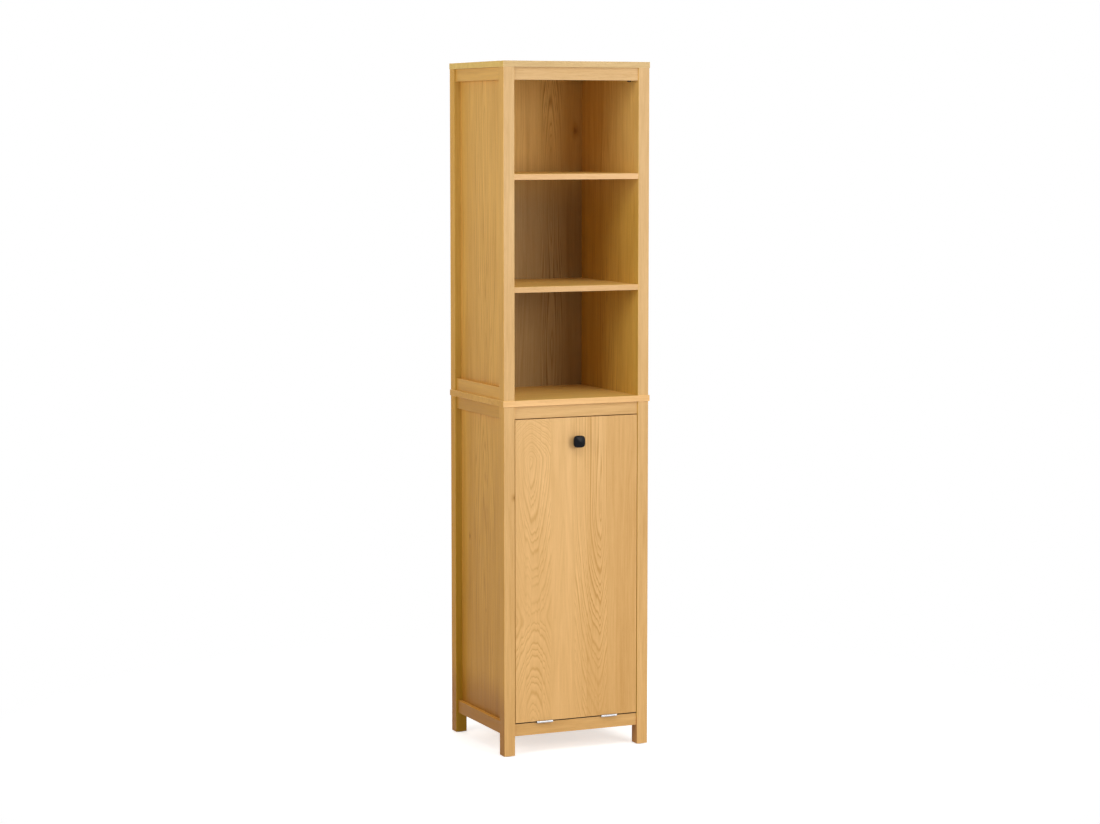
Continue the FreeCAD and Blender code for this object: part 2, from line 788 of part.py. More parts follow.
# Wall bracket under the top board, out of sight behind the front rail.
half = cell("wall_plate_width") / 2
y_leg = y_panel_in - cell("wall_plate")
z_leg = z_top - cell("wall_plate")
upright = box((-half, half), (y_leg, y_panel_in), (z_top - cell("wall_plate_leg"), z_top))
level = box((-half, half), (y_panel_in - cell("wall_plate_leg"), y_panel_in), (z_leg, z_top))
wall_hole = rod((ZERO, y_leg, z_wall_hole), "+y", cell("wall_plate"), cell("wall_screw_hole"))
length = cell("wall_plate") + cell("screw_bite")
holes = [flat_screw((*centre, z_leg), "+z", length) for centre in wall_screw_centres]
keep(cut(fuse([upright, level]), [wall_hole, *holes]), "wall_bracket")
keep([flat_screw((*centre, z_leg), "+z", length) for centre in wall_screw_centres], "wall_bracket_screws")

# Door, with its screw holes.
z_knob = z_door_top - cell("knob_drop")
leaf_screw_centres = []
hinge_centres = [sign * cell("hinge_spacing") / 2 for sign in (-1, 1)]
for x in hinge_centres:
    for sign in (-1, 1):
        leaf_screw_centres.append((x + sign * cell("leaf_screw_spacing") / 2, y_leaf_screw))
x_bracket_screw = (x_ear_out + x_bracket_out) / 2
z_hoop = z_hinge + cell("hoop_height")
z_tab = z_hoop - cell("hoop_wire") / 2
z_tab_low = z_tab - cell("tab_height")
door_screw_plates = []
for sign in (-1, 1):
    for offset in (-1, 1):
        z = z_pivot + offset * cell("bracket_screw_spacing") / 2
        door_screw_plates.append((sign * x_bracket_screw, z, cell("bracket")))
        z = z_tab_low + cell("tab_height") / 2 + offset * cell("tab_height") / 4
        door_screw_plates.append((sign * cell("tab_spacing") / 2, z, cell("tab")))
    door_screw_plates.append((sign * x_magnet, catch_middle, cell("strike")))
piece = board("door", (-x_door, x_door), (y_door, y_door_in), (z_door, z_door_top), cell("board_edge"), "xz")
piece.bores("z", z_door, z_door + cell("screw_bite"), leaf_screw_centres, cell("screw"))
centres = [(x, z) for x, z, _ in door_screw_plates]
piece.bores("y", y_door_in, y_door_in - cell("screw_bite"), centres, cell("screw"))
knob_hole = cell("knob_screw") + 2 * cell("knob_screw_clearance")
piece.bores("y", y_door_in, y_door, [(ZERO, z_knob)], knob_hole)
door_screws = []
for x, z, plate in door_screw_plates:
    door_screws.append(flat_screw((x, y_door_in + plate, z), "-y", plate + cell("screw_bite")))
keep(door_screws, "door_screws")

# Knob: a round stem and a rounded square head with a low four-sided point.
half = cell("knob_size") / 2
tip = cell("knob_tip") / 2
y_knob_back = y_door - cell("knob_stem_length")
y_knob_face = y_knob_back - cell("knob_rim")
y_knob_tip = y_knob_face - cell("knob_peak")
piece = Solid("knob", (-half, y_knob_tip, z_knob - half))
head = rounded_rectangle(-half, half, z_knob - half, z_knob + half, cell("knob_corner"))
piece.pad("y", y_knob_face, y_knob_back, head)
piece.pad("y", y_knob_back, y_door, circles([(ZERO, z_knob)], cell("knob_stem")))
loft_base = piece.sketch("y", y_knob_face)
head(loft_base, lambda u, v: piece.local("y", u, v))
loft_tip = piece.sketch("y", y_knob_tip)
point = rounded_rectangle(-tip, tip, z_knob - tip, z_knob + tip, tip / 2)
point(loft_tip, lambda u, v: piece.local("y", u, v))
loft = piece.body.newObject("PartDesign::AdditiveLoft", "knob_point")
loft.Profile = loft_base
loft.Sections = [loft_tip]
loft.Ruled = True
piece.bores("y", y_door, y_door - cell("knob_screw_bite") - end_slack, [(ZERO, z_knob)], cell("knob_screw"))
screw_head = rod(
    (ZERO, y_door_in, z_knob), "+y", cell("knob_screw_head_height"), cell("knob_screw_head")
)
length = cell("door") + cell("knob_screw_bite")
keep(fuse([screw_head, rod((ZERO, y_door_in, z_knob), "-y", length, cell("knob_screw"))]), "knob_screw")

# Butt hinges in the gap under the door: the outer knuckles belong to the frame's leaf and the
# middle one to the door's.
third = cell("hinge_length") / 3
gap = cell("knuckle_gap")
leaves = {"frame": [], "door": []}
hinge_pins = []
hinge_screws = {"frame": [], "door": []}
for centre in hinge_centres:
    low = centre - cell("hinge_length") / 2
    high = centre + cell("hinge_length") / 2
    knuckles = {
        "frame": [(low, third - gap / 2), (high - third + gap / 2, third - gap / 2)],
        "door": [(low + third + gap / 2, third - gap)],
    }
    levels = {
        "frame": (z_apron_top, z_apron_top + cell("leaf"), "-z"),
        "door": (z_door, z_door - cell("leaf"), "+z"),
    }
    bores = {"frame": cell("hinge_pin"), "door": cell("hinge_pin") + 2 * cell("pin_clearance")}
    for owner, (wood, face, towards) in levels.items():
        parts = [box((low, high), (y_leaf, y_leaf + cell("leaf_depth")), (wood, face))]
        for start, length in knuckles[owner]:
            parts.append(rod((start, y_hinge, z_hinge), "+x", length, cell("knuckle")))
            parts.append(box((start, start + length), (y_hinge, y_leaf), (wood, face)))
        tools = [rod((low, y_hinge, z_hinge), "+x", cell("hinge_length"), bores[owner])]
        screw_length = cell("leaf") + cell("screw_bite")
        for sign in (-1, 1):
            at = (centre + sign * cell("leaf_screw_spacing") / 2, y_leaf_screw, face)
            tools.append(flat_screw(at, towards, screw_length))
            hinge_screws[owner].append(flat_screw(at, towards, screw_length))
        leaves[owner].append(cut(fuse(parts), tools))
    hinge_pins.append(rod((low, y_hinge, z_hinge), "+x", cell("hinge_length"), cell("hinge_pin")))
keep(leaves["frame"], "hinge_frame_leaves")
keep(leaves["door"], "hinge_door_leaves")
keep(hinge_pins, "hinge_pins")
keep(hinge_screws["frame"], "hinge_frame_screws")
keep(hinge_screws["door"], "hinge_door_screws")

# Stay arms with their door brackets, rivets and side studs.
brackets = []
rivets = []
studs = []
for side, sign in SIDES.items():
    outward = "+x" if sign > 0 else "-x"
    inward = "-x" if sign > 0 else "+x"
    half_height = cell("bracket_height") / 2
    ear_radius = cell("stay_arm_width") / 2
    base = box(
        (sign * x_ear, sign * x_bracket_out),
        (y_door_in, y_door_in + cell("bracket")),
        (z_pivot - half_height, z_pivot + half_height),
    )
    ear = box(
        (sign * x_ear, sign * x_ear_out), (y_door_in, y_pivot), (z_pivot - ear_radius, z_pivot + ear_radius)
    )
    ear_end = rod((sign * x_ear, y_pivot, z_pivot), outward, cell("bracket"), cell("stay_arm_width"))
    tools = [rod((sign * x_ear, y_pivot, z_pivot), outward, cell("bracket"), cell("stay_rivet"))]
    for offset in (-1, 1):
        z = z_pivot + offset * cell("bracket_screw_spacing") / 2
        at = (sign * x_bracket_screw, y_door_in + cell("bracket"), z)
        tools.append(flat_screw(at, "-y", cell("bracket") + cell("screw_bite")))
    brackets.append(cut(fuse([base, ear, ear_end]), tools))

    rivet_in = (sign * x_arm_seat, y_pivot, z_pivot)
    rivet_out = (sign * x_ear_out, y_pivot, z_pivot)
    head_height = cell("stay_rivet_head_height")
    rivets.append(
        fuse(
            [
                rod(rivet_in, inward, head_height, cell("stay_rivet_head")),
                rod(rivet_in, outward, x_ear_out - x_arm_seat, cell("stay_rivet")),
                rod(rivet_out, outward, head_height, cell("stay_rivet_head")),
            ]
        )
    )
    stud_in = (sign * x_arm_seat, y_stud, z_stud)
    stud_collar = (sign * x_ear, y_stud, z_stud)
    studs.append(
        fuse(
            [
                rod(stud_in, inward, head_height, cell("stay_stud_head")),
                rod(stud_in, outward, x_ear - x_arm_seat, cell("stay_stud")),
                rod(stud_collar, outward, x_in - x_ear, cell("stay_stud_collar")),
                rod((sign * x_in, y_stud, z_stud), outward, cell("stay_stud_bite"), cell("stay_rivet")),
            ]
        )
    )

    # The arm is drawn along +Y from its pivot and then turned down to its resting slope.
    width = cell("stay_arm_width")
    thickness = cell("stay_arm")
    slot = cell("stay_stud") + 2 * cell("stay_play")
    flat = (ZERO, thickness)
    blade = fuse(
        [
            box(flat, (ZERO, slot_end), (-width / 2, width / 2)),
            rod((ZERO, ZERO, ZERO), "+x", thickness, width),
            rod((ZERO, slot_end, ZERO), "+x", thickness, width),
        ]
    )
    arm = cut(
        blade,
        [
            box(flat, (slot_start, slot_end), (-slot / 2, slot / 2)),
            rod((ZERO, slot_start, ZERO), "+x", thickness, slot),
            rod((ZERO, slot_end, ZERO), "+x", thickness, slot),
            rod((ZERO, ZERO, ZERO), "+x", thickness, cell("stay_rivet") + 2 * cell("pin_clearance")),
        ],
    )
    arm.Placement.Rotation = FreeCAD.Rotation(FreeCAD.Vector(-1, 0, 0), 1)
    bind(
        arm,
        Placement__Base__x=min(sign * x_arm_in, sign * x_arm),
        Placement__Base__y=y_pivot,
        Placement__Base__z=z_pivot,
        Placement__Rotation__Angle=pivot_angle + cell("stay_rest_angle") / 2,
    )
    keep(arm, f"stay_arm_{side}")
keep(brackets, "stay_brackets")
keep(rivets, "stay_rivets")
keep(studs, "stay_studs")

# Catches: a case on each front post with a magnet in its front, and a strike plate on the door.
cases = []
magnets = []
strikes = []
catch_screws = []
for sign in SIDES.values():
    outward = "+x" if sign > 0 else "-x"
    x_near, x_far = x_magnet - cell("magnet_width") / 2, x_magnet + cell("magnet_width") / 2
    magnet_span = (sign * x_near, sign * x_far)
    magnet_depth = (y_catch, y_catch + cell("magnet_depth"))
    magnet_rise = (catch_middle - cell("magnet_height") / 2, catch_middle + cell("magnet_height") / 2)
    case = box(
        (sign * x_catch, sign * x_in),
        (y_catch, y_catch + cell("catch_depth")),
        (catch_middle - cell("catch_height") / 2, cell("catch_top")),
    )
    tools = [box(magnet_span, magnet_depth, magnet_rise)]
    length = cell("catch_width") + cell("catch_screw_bite")
    for z in catch_screw_levels:
        at = (sign * x_catch, y_catch_middle, z)
        tools.append(flat_screw(at, outward, length))
        catch_screws.append(flat_screw(at, outward, length))
    cases.append(cut(case, tools))
    magnets.append(box(magnet_span, magnet_depth, magnet_rise))
    plate = box(
        magnet_span,
        (y_door_in, y_door_in + cell("strike")),
        (catch_middle - cell("catch_height") / 2, cell("catch_top")),
    )
    at = (sign * x_magnet, y_door_in + cell("strike"), catch_middle)
    strikes.append(cut(plate, [flat_screw(at, "-y", cell("strike") + cell("screw_bite"))]))
keep(cases, "catch_cases")
keep(magnets, "catch_magnets")
keep(catch_screws, "catch_screws")
keep(strikes, "strike_plates")

# Wire hoop on the door's inner face, welded to two screwed tabs, that carries the laundry bag.
x_hoop = cell("hoop_width") / 2
y_hoop = y_door_in + cell("hoop_stand_off")
y_hoop_back = y_hoop + cell("hoop_depth")
corner = cell("hoop_corner")
wire = cell("hoop_wire")
runs = [
    rod((-(x_hoop - corner), y_hoop, z_hoop), "+x", 2 * (x_hoop - corner), wire),
    rod((-(x_hoop - corner), y_hoop_back, z_hoop), "+x", 2 * (x_hoop - corner), wire),
    rod((-x_hoop, y_hoop + corner, z_hoop), "+y", cell("hoop_depth") - 2 * corner, wire),
    rod((x_hoop, y_hoop + corner, z_hoop), "+y", cell("hoop_depth") - 2 * corner, wire),
]
bends = [
    (x_hoop - corner, y_hoop_back - corner, 0),
    (-(x_hoop - corner), y_hoop_back - corner, 90),
    (-(x_hoop - corner), y_hoop + corner, 180),
    (x_hoop - corner, y_hoop + corner, 270),
]
for x, y, angle in bends:
    bend = doc.addObject("Part::Torus", "bend")
    bend.Angle3 = 90
    bind(bend, Radius1=corner, Radius2=wire / 2)
    place(bend, (x, y, z_hoop))
    bend.Placement.Rotation = FreeCAD.Rotation(FreeCAD.Vector(0, 0, 1), angle)
    runs.append(bend)
keep(fuse(runs), "bag_hoop")
tabs = []
for sign in (-1, 1):
    x = sign * cell("tab_spacing") / 2
    span = (x - cell("tab_width") / 2, x + cell("tab_width") / 2)
    upright = box(span, (y_door_in, y_door_in + cell("tab")), (z_tab_low, z_tab))
    ledge = box(span, (y_door_in, y_hoop + wire / 2), (z_tab - cell("tab"), z_tab))
    tools = []
    for offset in (-1, 1):
        z = z_tab_low + cell("tab_height") / 2 + offset * cell("tab_height") / 4
        tools.append(flat_screw((x, y_door_in + cell("tab"), z), "-y", cell("tab") + cell("screw_bite")))
    tabs.append(cut(fuse([upright, ledge]), tools))
keep(tabs, "bag_hoop_tabs")

# Laundry bag: a cloth tub whose hem is turned down over the hoop, open at the top.
near = wire / 2 + cell("bag_clearance")
far = near + cell("bag_cloth")
z_hem = z_hoop - cell("bag_hem")
z_bag = z_hoop - cell("bag_drop")


def around_hoop(offset):
    """The hoop's outline moved outwards by an offset."""
    return rounded_rectangle(
        -(x_hoop + offset), x_hoop + offset, y_hoop - offset, y_hoop_back + offset, corner + offset
    )


piece = Solid("laundry_bag", (-(x_hoop + far), y_hoop - far, z_bag))
piece.pad("z", z_hem, z_hoop + far, around_hoop(far))
piece.cut("z", z_hem, z_hoop + near, around_hoop(near))
piece.pad("z", z_bag, z_hoop + far, around_hoop(-near))
piece.cut("z", z_hoop + far, z_bag + cell("bag_cloth"), around_hoop(-far))
z_notch = z_tab + cell("bag_clearance")
for sign in (-1, 1):
    x = sign * cell("tab_spacing") / 2
    reach = cell("tab_width") / 2 + cell("bag_clearance")
    piece.cut("y", y_hoop - far, y_hoop - near, rectangle(x - reach, x + reach, z_hem, z_notch))

# Round glides nailed under the posts.
glides = []
for x, y in post_centres:
    disc = rod((x, y, ZERO), "+z", cell("glide_height"), cell("glide"))
    nail = rod((x, y, ZERO), "+z", cell("glide_height") + cell("glide_nail_length"), cell("glide_nail"))
    glides.append(fuse([disc, nail]))
keep(glides, "foot_glides")

doc.recompute()

faults = []
for thing in doc.Objects:
    if "Invalid" in thing.State or "Error" in thing.State:
        faults.append(f"{thing.Label}: {thing.State}")
    if thing.TypeId == "PartDesign::Pocket":
        before = thing.BaseFeature.Shape.Volume
        if thing.Shape.Volume > before - 0.01:
            faults.append(f"{thing.Label} cuts nothing")
for piece in pieces:
    if piece.Shape.isNull() or not piece.Shape.isValid():
        faults.append(f"{piece.Label}: shape is null or not valid")
if faults:
    raise RuntimeError("; ".join(faults))

os.makedirs("parts", exist_ok=True)
for piece in pieces:
    piece.Shape.exportStep(f"parts/{piece.Label}.step")
print(f"{len(pieces)} pieces, stay radius {stay_radius.value:.2f}")
print(f"stud at {y_stud.value:.2f}, {z_stud.value:.2f}")
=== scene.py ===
import json
import math
from typing import NamedTuple

import bmesh
import bpy
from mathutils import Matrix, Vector

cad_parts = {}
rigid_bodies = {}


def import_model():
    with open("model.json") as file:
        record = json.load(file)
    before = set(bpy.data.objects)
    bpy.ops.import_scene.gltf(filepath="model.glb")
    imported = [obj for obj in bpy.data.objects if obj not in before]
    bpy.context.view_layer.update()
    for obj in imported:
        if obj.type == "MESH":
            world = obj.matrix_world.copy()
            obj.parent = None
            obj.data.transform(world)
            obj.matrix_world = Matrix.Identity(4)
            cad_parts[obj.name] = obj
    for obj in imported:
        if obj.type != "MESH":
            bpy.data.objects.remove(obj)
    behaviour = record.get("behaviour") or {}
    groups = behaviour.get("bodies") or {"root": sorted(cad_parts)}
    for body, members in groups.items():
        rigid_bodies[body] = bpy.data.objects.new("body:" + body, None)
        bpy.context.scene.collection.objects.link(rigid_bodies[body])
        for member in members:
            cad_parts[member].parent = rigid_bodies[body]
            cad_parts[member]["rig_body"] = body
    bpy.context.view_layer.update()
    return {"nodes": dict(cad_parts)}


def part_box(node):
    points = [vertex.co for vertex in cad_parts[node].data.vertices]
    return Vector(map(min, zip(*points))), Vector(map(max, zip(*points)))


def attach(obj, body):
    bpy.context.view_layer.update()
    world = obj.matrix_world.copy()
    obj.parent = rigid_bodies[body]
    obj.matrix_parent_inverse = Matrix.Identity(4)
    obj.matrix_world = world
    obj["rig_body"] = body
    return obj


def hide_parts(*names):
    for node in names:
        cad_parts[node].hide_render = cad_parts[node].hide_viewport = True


# Tall bathroom cabinet in light oak with an open shelf unit and a tilt-out laundry door.
# Metres, in the frame of the solids: +Z up, the front faces -Y.

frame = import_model()

MM = 0.001
TAU = 2 * math.pi


# ---------------------------------------------------------------- shader tools

class Wire:
    """The output of a shader node. Arithmetic on it adds Math nodes."""

    def __init__(self, nodes, socket):
        self.nodes = nodes
        self.socket = socket

    def math(self, operation, *others):
        sockets = dict(enumerate((self, *others)))
        return self.nodes.add("Math", {"operation": operation}, sockets)

    def __add__(self, other):
        return self.math("ADD", other)

    def __sub__(self, other):
        return self.math("SUBTRACT", other)

    def __mul__(self, other):
        return self.math("MULTIPLY", other)

    def __rsub__(self, other):
        return self.nodes.add("Math", {"operation": "SUBTRACT"}, {0: other, 1: self})

    def __pow__(self, other):
        return self.math("POWER", other)

    def __neg__(self):
        return self * -1

    __radd__ = __add__
    __rmul__ = __mul__


class Nodes:
    """The shader nodes of a material or of the world."""

    def __init__(self, owner):
        self.owner = owner
        owner.use_nodes = True
        self.tree = owner.node_tree
        self.tree.nodes.clear()

    def add(self, kind, settings, sockets, out=0):
        """Adds a node, makes its settings, fills its sockets and gives one of its outputs."""
        node = self.tree.nodes.new(f"ShaderNode{kind}")
        for name, value in settings.items():
            setattr(node, name, value)
        for name, value in sockets.items():
            if isinstance(value, Wire):
                self.tree.links.new(value.socket, node.inputs[name])
            else:
                node.inputs[name].default_value = value
        return Wire(self, node.outputs[out]) if node.outputs else None

    def place(self):
        return self.add("TexCoord", {}, {}, out="Object")

    def split(self, vector):
        separated = self.add("SeparateXYZ", {}, {0: vector})
        return [Wire(self, separated.socket.node.outputs[i]) for i in range(3)]

    def scaled(self, vector, factors):
        return self.add("VectorMath", {"operation": "MULTIPLY"}, {0: vector, 1: factors})

    def noise(self, vector, detail=2.0, roughness=0.5):
        sockets = {"Vector": vector, "Scale": 1.0, "Detail": detail, "Roughness": roughness}
        return self.add("TexNoise", {}, sockets)

    def ease(self, value, low, high):
        """0 below low, 1 above high and a smooth rise between them."""
        settings = {"interpolation_type": "SMOOTHSTEP"}
        return self.add("MapRange", settings, {"Value": value, "From Min": low, "From Max": high})

    def within(self, value, low, high, soft):
        """1 between low and high and 0 outside them, with soft ends."""
        started = self.ease(value, low - soft, low + soft)
        return started * (1 - self.ease(value, high - soft, high + soft))

    def mix(self, first, second, share):
        settings = {"data_type": "RGBA", "clamp_factor": True}
        return self.add("Mix", settings, {0: share, 6: first, 7: second}, out=2)

    def surface(self, colour, roughness, height=None, relief=0.0, **constants):
        """Ends a material in a Principled shader, with a bump where a height is given."""
        sockets = {"Base Color": colour, "Roughness": roughness}
        sockets.update({name.replace("_", " "): value for name, value in constants.items()})
        if height is not None:
            bump = {"Height": height, "Strength": 1.0, "Distance": relief}
            sockets["Normal"] = self.add("Bump", {}, bump)
        shader = self.add("BsdfPrincipled", {}, sockets)
        self.add("OutputMaterial", {}, {"Surface": shader})
        return self.owner


def finish(name):
    return Nodes(bpy.data.materials.new(name))


def screen(red, green, blue):
    """A colour as it shows on a screen, 0 to 255, as the linear colour of a shader."""
    linear = []
    for value in (red / 255, green / 255, blue / 255):
        low = value / 12.92
        high = ((value + 0.055) / 1.055) ** 2.4
        linear.append(low if value <= 0.04045 else high)
    return (*linear, 1.0)


def times(colour, *factors):
    """A colour whose red, green and blue are multiplied."""
    return (*(channel * factor for channel, factor in zip(colour, factors)), 1.0)


# ---------------------------------------------------------------- oak

class Loop(NamedTuple):
    """The heart of a figure: its place in mm, and how wide and tall its rings are there."""

    side: float
    run: float
    left: float
    right: float
    above: float
    below: float


class Figure(NamedTuple):
    """Loops that share a stretch of the board between two places across the grain, in mm."""

    loops: tuple
    low: float
    high: float
    depth: float


# Tones of oak: front faces; the sides' outer faces and faces inside, painted shade; the boards'
# edges, and their tops with painted light; the back posts' front and outer faces and the legs'
# inner faces, painted shade; and the plywood's raw back.
FRONT_OAK = screen(212, 174, 122)
SIDE_SHADED_OAK = screen(223, 171, 86)
INNER_SHADED_OAK = screen(223, 181, 103)
BOARD_OAK = screen(224, 181, 130)
BOARD_TOP_LIT_OAK = screen(236, 194, 108)
REVEAL_SHADED_OAK = screen(205, 165, 84)
LEG_SHADED_OAK = screen(222, 167, 72)
LEG_INSIDE_SHADED_OAK = screen(176, 122, 62)
RAW_PLY = screen(214, 186, 146)

# Factors on red, green and blue. A drop is what becomes of a tone at the low end of its heights:
# painted shade, darker towards the bottom. The foot's share is painted shade near the floor.
FRONT_SHADE_DROP = (1.04, 0.94, 0.74)
SIDE_SHADE_DROP = (0.72, 0.63, 0.40)
INNER_SHADE_DROP = (0.85, 0.80, 0.52)
BACK_SHADE_DROP = (0.52, 0.52, 0.64)
REVEAL_SHADE_DROP = (0.64, 0.57, 0.16)
FOOT_SHADE_SHARE = (0.70, 0.60, 0.34)
DOOR_SHADE_DROP = (1.02, 0.95, 0.80)
# Painted shade on faces in the hinge gap, and the dark, pale and deepest parts of the grain.
GAP_SHADE_SHARE = (0.16, 0.11, 0.06)
DARK_SHARE = (0.80, 0.73, 0.58)
LIGHT_SHARE = (1.13, 1.18, 1.28)
DEEP_SHARE = (0.46, 0.37, 0.25)
# Pairs of heights in mm between which the tones change.
WHOLE_HEIGHT = (0.0, 1720.0)
SHELF_HEIGHT = (1330.0, 1500.0)
LEG_HEIGHT = (62.0, 80.0)
FOOT_HEIGHT = (95.0, 200.0)

# Sizes of the grain, as repeats in a metre across it and along it. A pore is where its noise
# passes between two limits.
SWERVE = (5.0, 2.4)
BAND = (42.0, 2.2)
STREAK = (135.0, 5.5)
FIBRE = (470.0, 15.0)
PORE = (1500.0, 75.0)
PORE_LIMITS = (0.60, 0.72)
CLOUD = (7.0, 3.0)

# How much each part of the grain adds to or takes from the level, which is 0 dark and 1 pale.
MIDDLE_LEVEL = 0.6
BAND_DEPTH = 0.5
STREAK_DEPTH = 0.55
FIBRE_DEPTH = 0.85
CLOUD_DEPTH = 0.5
PORE_DEPTH = 0.16
DARK_LINE_DEPTH = 0.7
PALE_LINE_DEPTH = 0.18
# Painted highlight on the edges.
EDGE_HIGHLIGHT_DEPTH = 0.22
KNOT_DEPTH = 0.75
KNOT_HEART_DEPTH = 0.5

# In mm: how far the grain swerves, the veneer's joints and the jump of its fibres there, how
# sharply the raw back begins, and how wide the painted highlights on the edges are.
SWERVE_REACH = 14
STRIP_JOINT = 0.4
STRIP_JUMP = 731
RAW_EDGE = 0.1
EDGE_HIGHLIGHT_WIDTH = (0.3, 1.8)

# Knots: how they are drawn out along z, and the heart's share of the radius.
KNOT_SHAPE = (1.0, 1.0, 0.55)
KNOT_HEART = 0.4

# Growth lines: how pointed the arches are, how softly loops meet, how uneven their spacing is,
# how narrow the dark and pale lines are, and how far the pale ones lie from the dark ones.
POINTED = 1.55
LOOP_BLEND = 1.5
UNEVEN_TURN = 1.9
UNEVEN_REACH = 0.28
DARK_LINE = 5.0
PALE_LINE = 3.0
PALE_SHIFT = 1.9
FIGURE_EDGE = 5
# How far bands, streaks and fibres bend the lines, in rings, and their strength where faintest.
BAND_WOBBLE = 2.4
STREAK_WOBBLE = 0.9
FIBRE_WOBBLE = 0.3
FAINTEST = 0.25


class Board(NamedTuple):
    """What an oak board shows: the axes of its grain, its tones with painted light and shade, and
    its marks, all places in mm.
    """

    along: str
    across: str
    tone: tuple
    drop: tuple = FRONT_SHADE_DROP
    heights: tuple = WHOLE_HEIGHT
    outer: tuple = SIDE_SHADED_OAK
    upper: tuple = ()
    reveal: tuple = ()
    figures: tuple = ()
    strips: tuple = ()
    knots: tuple = ()
    painted_light_side: tuple = ()
    contrast: float = 1.0
    raw_behind: float = 0.0
    gap_shade: str = ""


def step(nodes, place, limits):
    """0 below the first of two limits in mm, 1 above the second, with a smooth rise between."""
    low, high = limits
    return nodes.ease(place, low * MM, high * MM)


def facing(nodes, direction):
    """1 on faces that look a certain way and 0 on the others, from that part of their normal."""
    return nodes.ease(direction, 0.3, 0.7)


def axis_and_sign(direction):
    """The number of a direction's axis and its sign: 2 and -1 for -z."""
    return "xyz".index(direction[1]), 1 if direction[0] == "+" else -1


def sums(terms):
    """The sum of some wires, or None where there are none."""
    total = None
    for term in terms:
        total = term if total is None else total + term
    return total


def grain(nodes, place, along, size, detail, roughness=0.5):
    """Noise that is drawn out along the grain."""
    across, length = size
    factors = [length if axis == along else across for axis in "xyz"]
    return nodes.noise(nodes.scaled(place, factors), detail, roughness)


def moved(nodes, place, axis, distance):
    """A place that is moved along one axis."""
    shift = nodes.add("CombineXYZ", {}, {"xyz".index(axis): distance})
    return nodes.add("VectorMath", {"operation": "ADD"}, {0: place, 1: shift})


def rings_away(side, run, loop):
    """How many rings lie between a loop's heart and a place on the board."""
    offset = side - loop.side * MM
    right = offset.math("MAXIMUM", 0.0) * (1 / (loop.right * MM))
    left = (-offset).math("MAXIMUM", 0.0) * (1 / (loop.left * MM))
    rise = run - loop.run * MM
    up = rise.math("MAXIMUM", 0.0) * (1 / (loop.above * MM))
    down = (-rise).math("MAXIMUM", 0.0) * (1 / (loop.below * MM))
    return ((left + right) ** POINTED + (up + down) ** POINTED) ** (1 / POINTED)


def figure_lines(nodes, side, run, wobble, figures):
    """Dark and pale growth lines, as nested arches and loops round each heart."""
    dark, pale = [], []
    for figure in figures:
        nearest, *others = [rings_away(side, run, loop) for loop in figure.loops]
        for other in others:
            nearest = nearest.math("SMOOTH_MIN", other, LOOP_BLEND)
        nearest = nearest + wobble
        uneven = (nearest * UNEVEN_TURN).math("SINE") * UNEVEN_REACH
        turn = (nearest + uneven) * TAU
        window = nodes.within(side, figure.low * MM, figure.high * MM, FIGURE_EDGE * MM)
        window = window * figure.depth
        dark.append((turn.math("COSINE") * 0.5 + 0.5) ** DARK_LINE * window)
        pale.append(((turn + PALE_SHIFT).math("COSINE") * 0.5 + 0.5) ** PALE_LINE * window)
    return sums(dark), sums(pale)


def edge_light(nodes, parts, low, high):
    """1 on the edges of a board, which get a painted highlight, and 0 on its faces."""
    gaps = []
    for part, near, far in zip(parts, low, high):
        gaps.append((part - near).math("MINIMUM", far - part))
    widest = gaps[0].math("MAXIMUM", gaps[1]).math("MAXIMUM", gaps[2])
    closest = gaps[0].math("MINIMUM", gaps[1]).math("MINIMUM", gaps[2])
    middle = gaps[0] + gaps[1] + gaps[2] - widest - closest
    return 1 - step(nodes, middle, EDGE_HIGHLIGHT_WIDTH)


def dropped(nodes, tone, drop, height, heights):
    """A tone that changes smoothly from the upper of two heights to the lower."""
    return nodes.mix(times(tone, *drop), tone, step(nodes, height, heights))


def stain(nodes, board, parts):
    """The board's tone, with painted light and shade: faces that look outwards, inwards, up or
    ahead, and lower heights, have tones of their own.
    """
    normal = nodes.split(nodes.add("TexCoord", {}, {}, out="Normal"))
    outward = normal[0] * parts[0].math("SIGN")
    height = parts[2]
    # Painted shade: the tones darken towards the bottom.
    front = dropped(nodes, board.tone, board.drop, height, board.heights)
    side = dropped(nodes, board.outer, SIDE_SHADE_DROP, height, WHOLE_HEIGHT)
    # Painted shade near the floor.
    side = nodes.mix(nodes.scaled(side, FOOT_SHADE_SHARE), side, step(nodes, height, FOOT_HEIGHT))
    # Painted shade inside, darker below the top shelf, and on the legs' inner faces.
    inner = dropped(nodes, INNER_SHADED_OAK, INNER_SHADE_DROP, height, SHELF_HEIGHT)
    inner = nodes.mix(LEG_INSIDE_SHADED_OAK, inner, step(nodes, height, LEG_HEIGHT))
    # Painted shade on faces that look outwards and inwards.
    colour = nodes.mix(front, side, facing(nodes, outward))
    colour = nodes.mix(colour, inner, facing(nodes, -outward))
    if board.upper:
        # Painted light on faces that look up.
        colour = nodes.mix(colour, board.upper, facing(nodes, normal[2]))
    if board.reveal:
        # Painted shade on faces that look ahead.
        reveal = dropped(nodes, board.reveal, REVEAL_SHADE_DROP, height, WHOLE_HEIGHT)
        colour = nodes.mix(colour, reveal, facing(nodes, -normal[1]))
    # Painted shade on faces that look into the hinge gap.
    if board.gap_shade:
        axis, sign = axis_and_sign(board.gap_shade)
        share = nodes.mix((1, 1, 1, 1), (*GAP_SHADE_SHARE, 1), facing(nodes, normal[axis] * sign))
        colour = nodes.scaled(colour, share)
    return colour


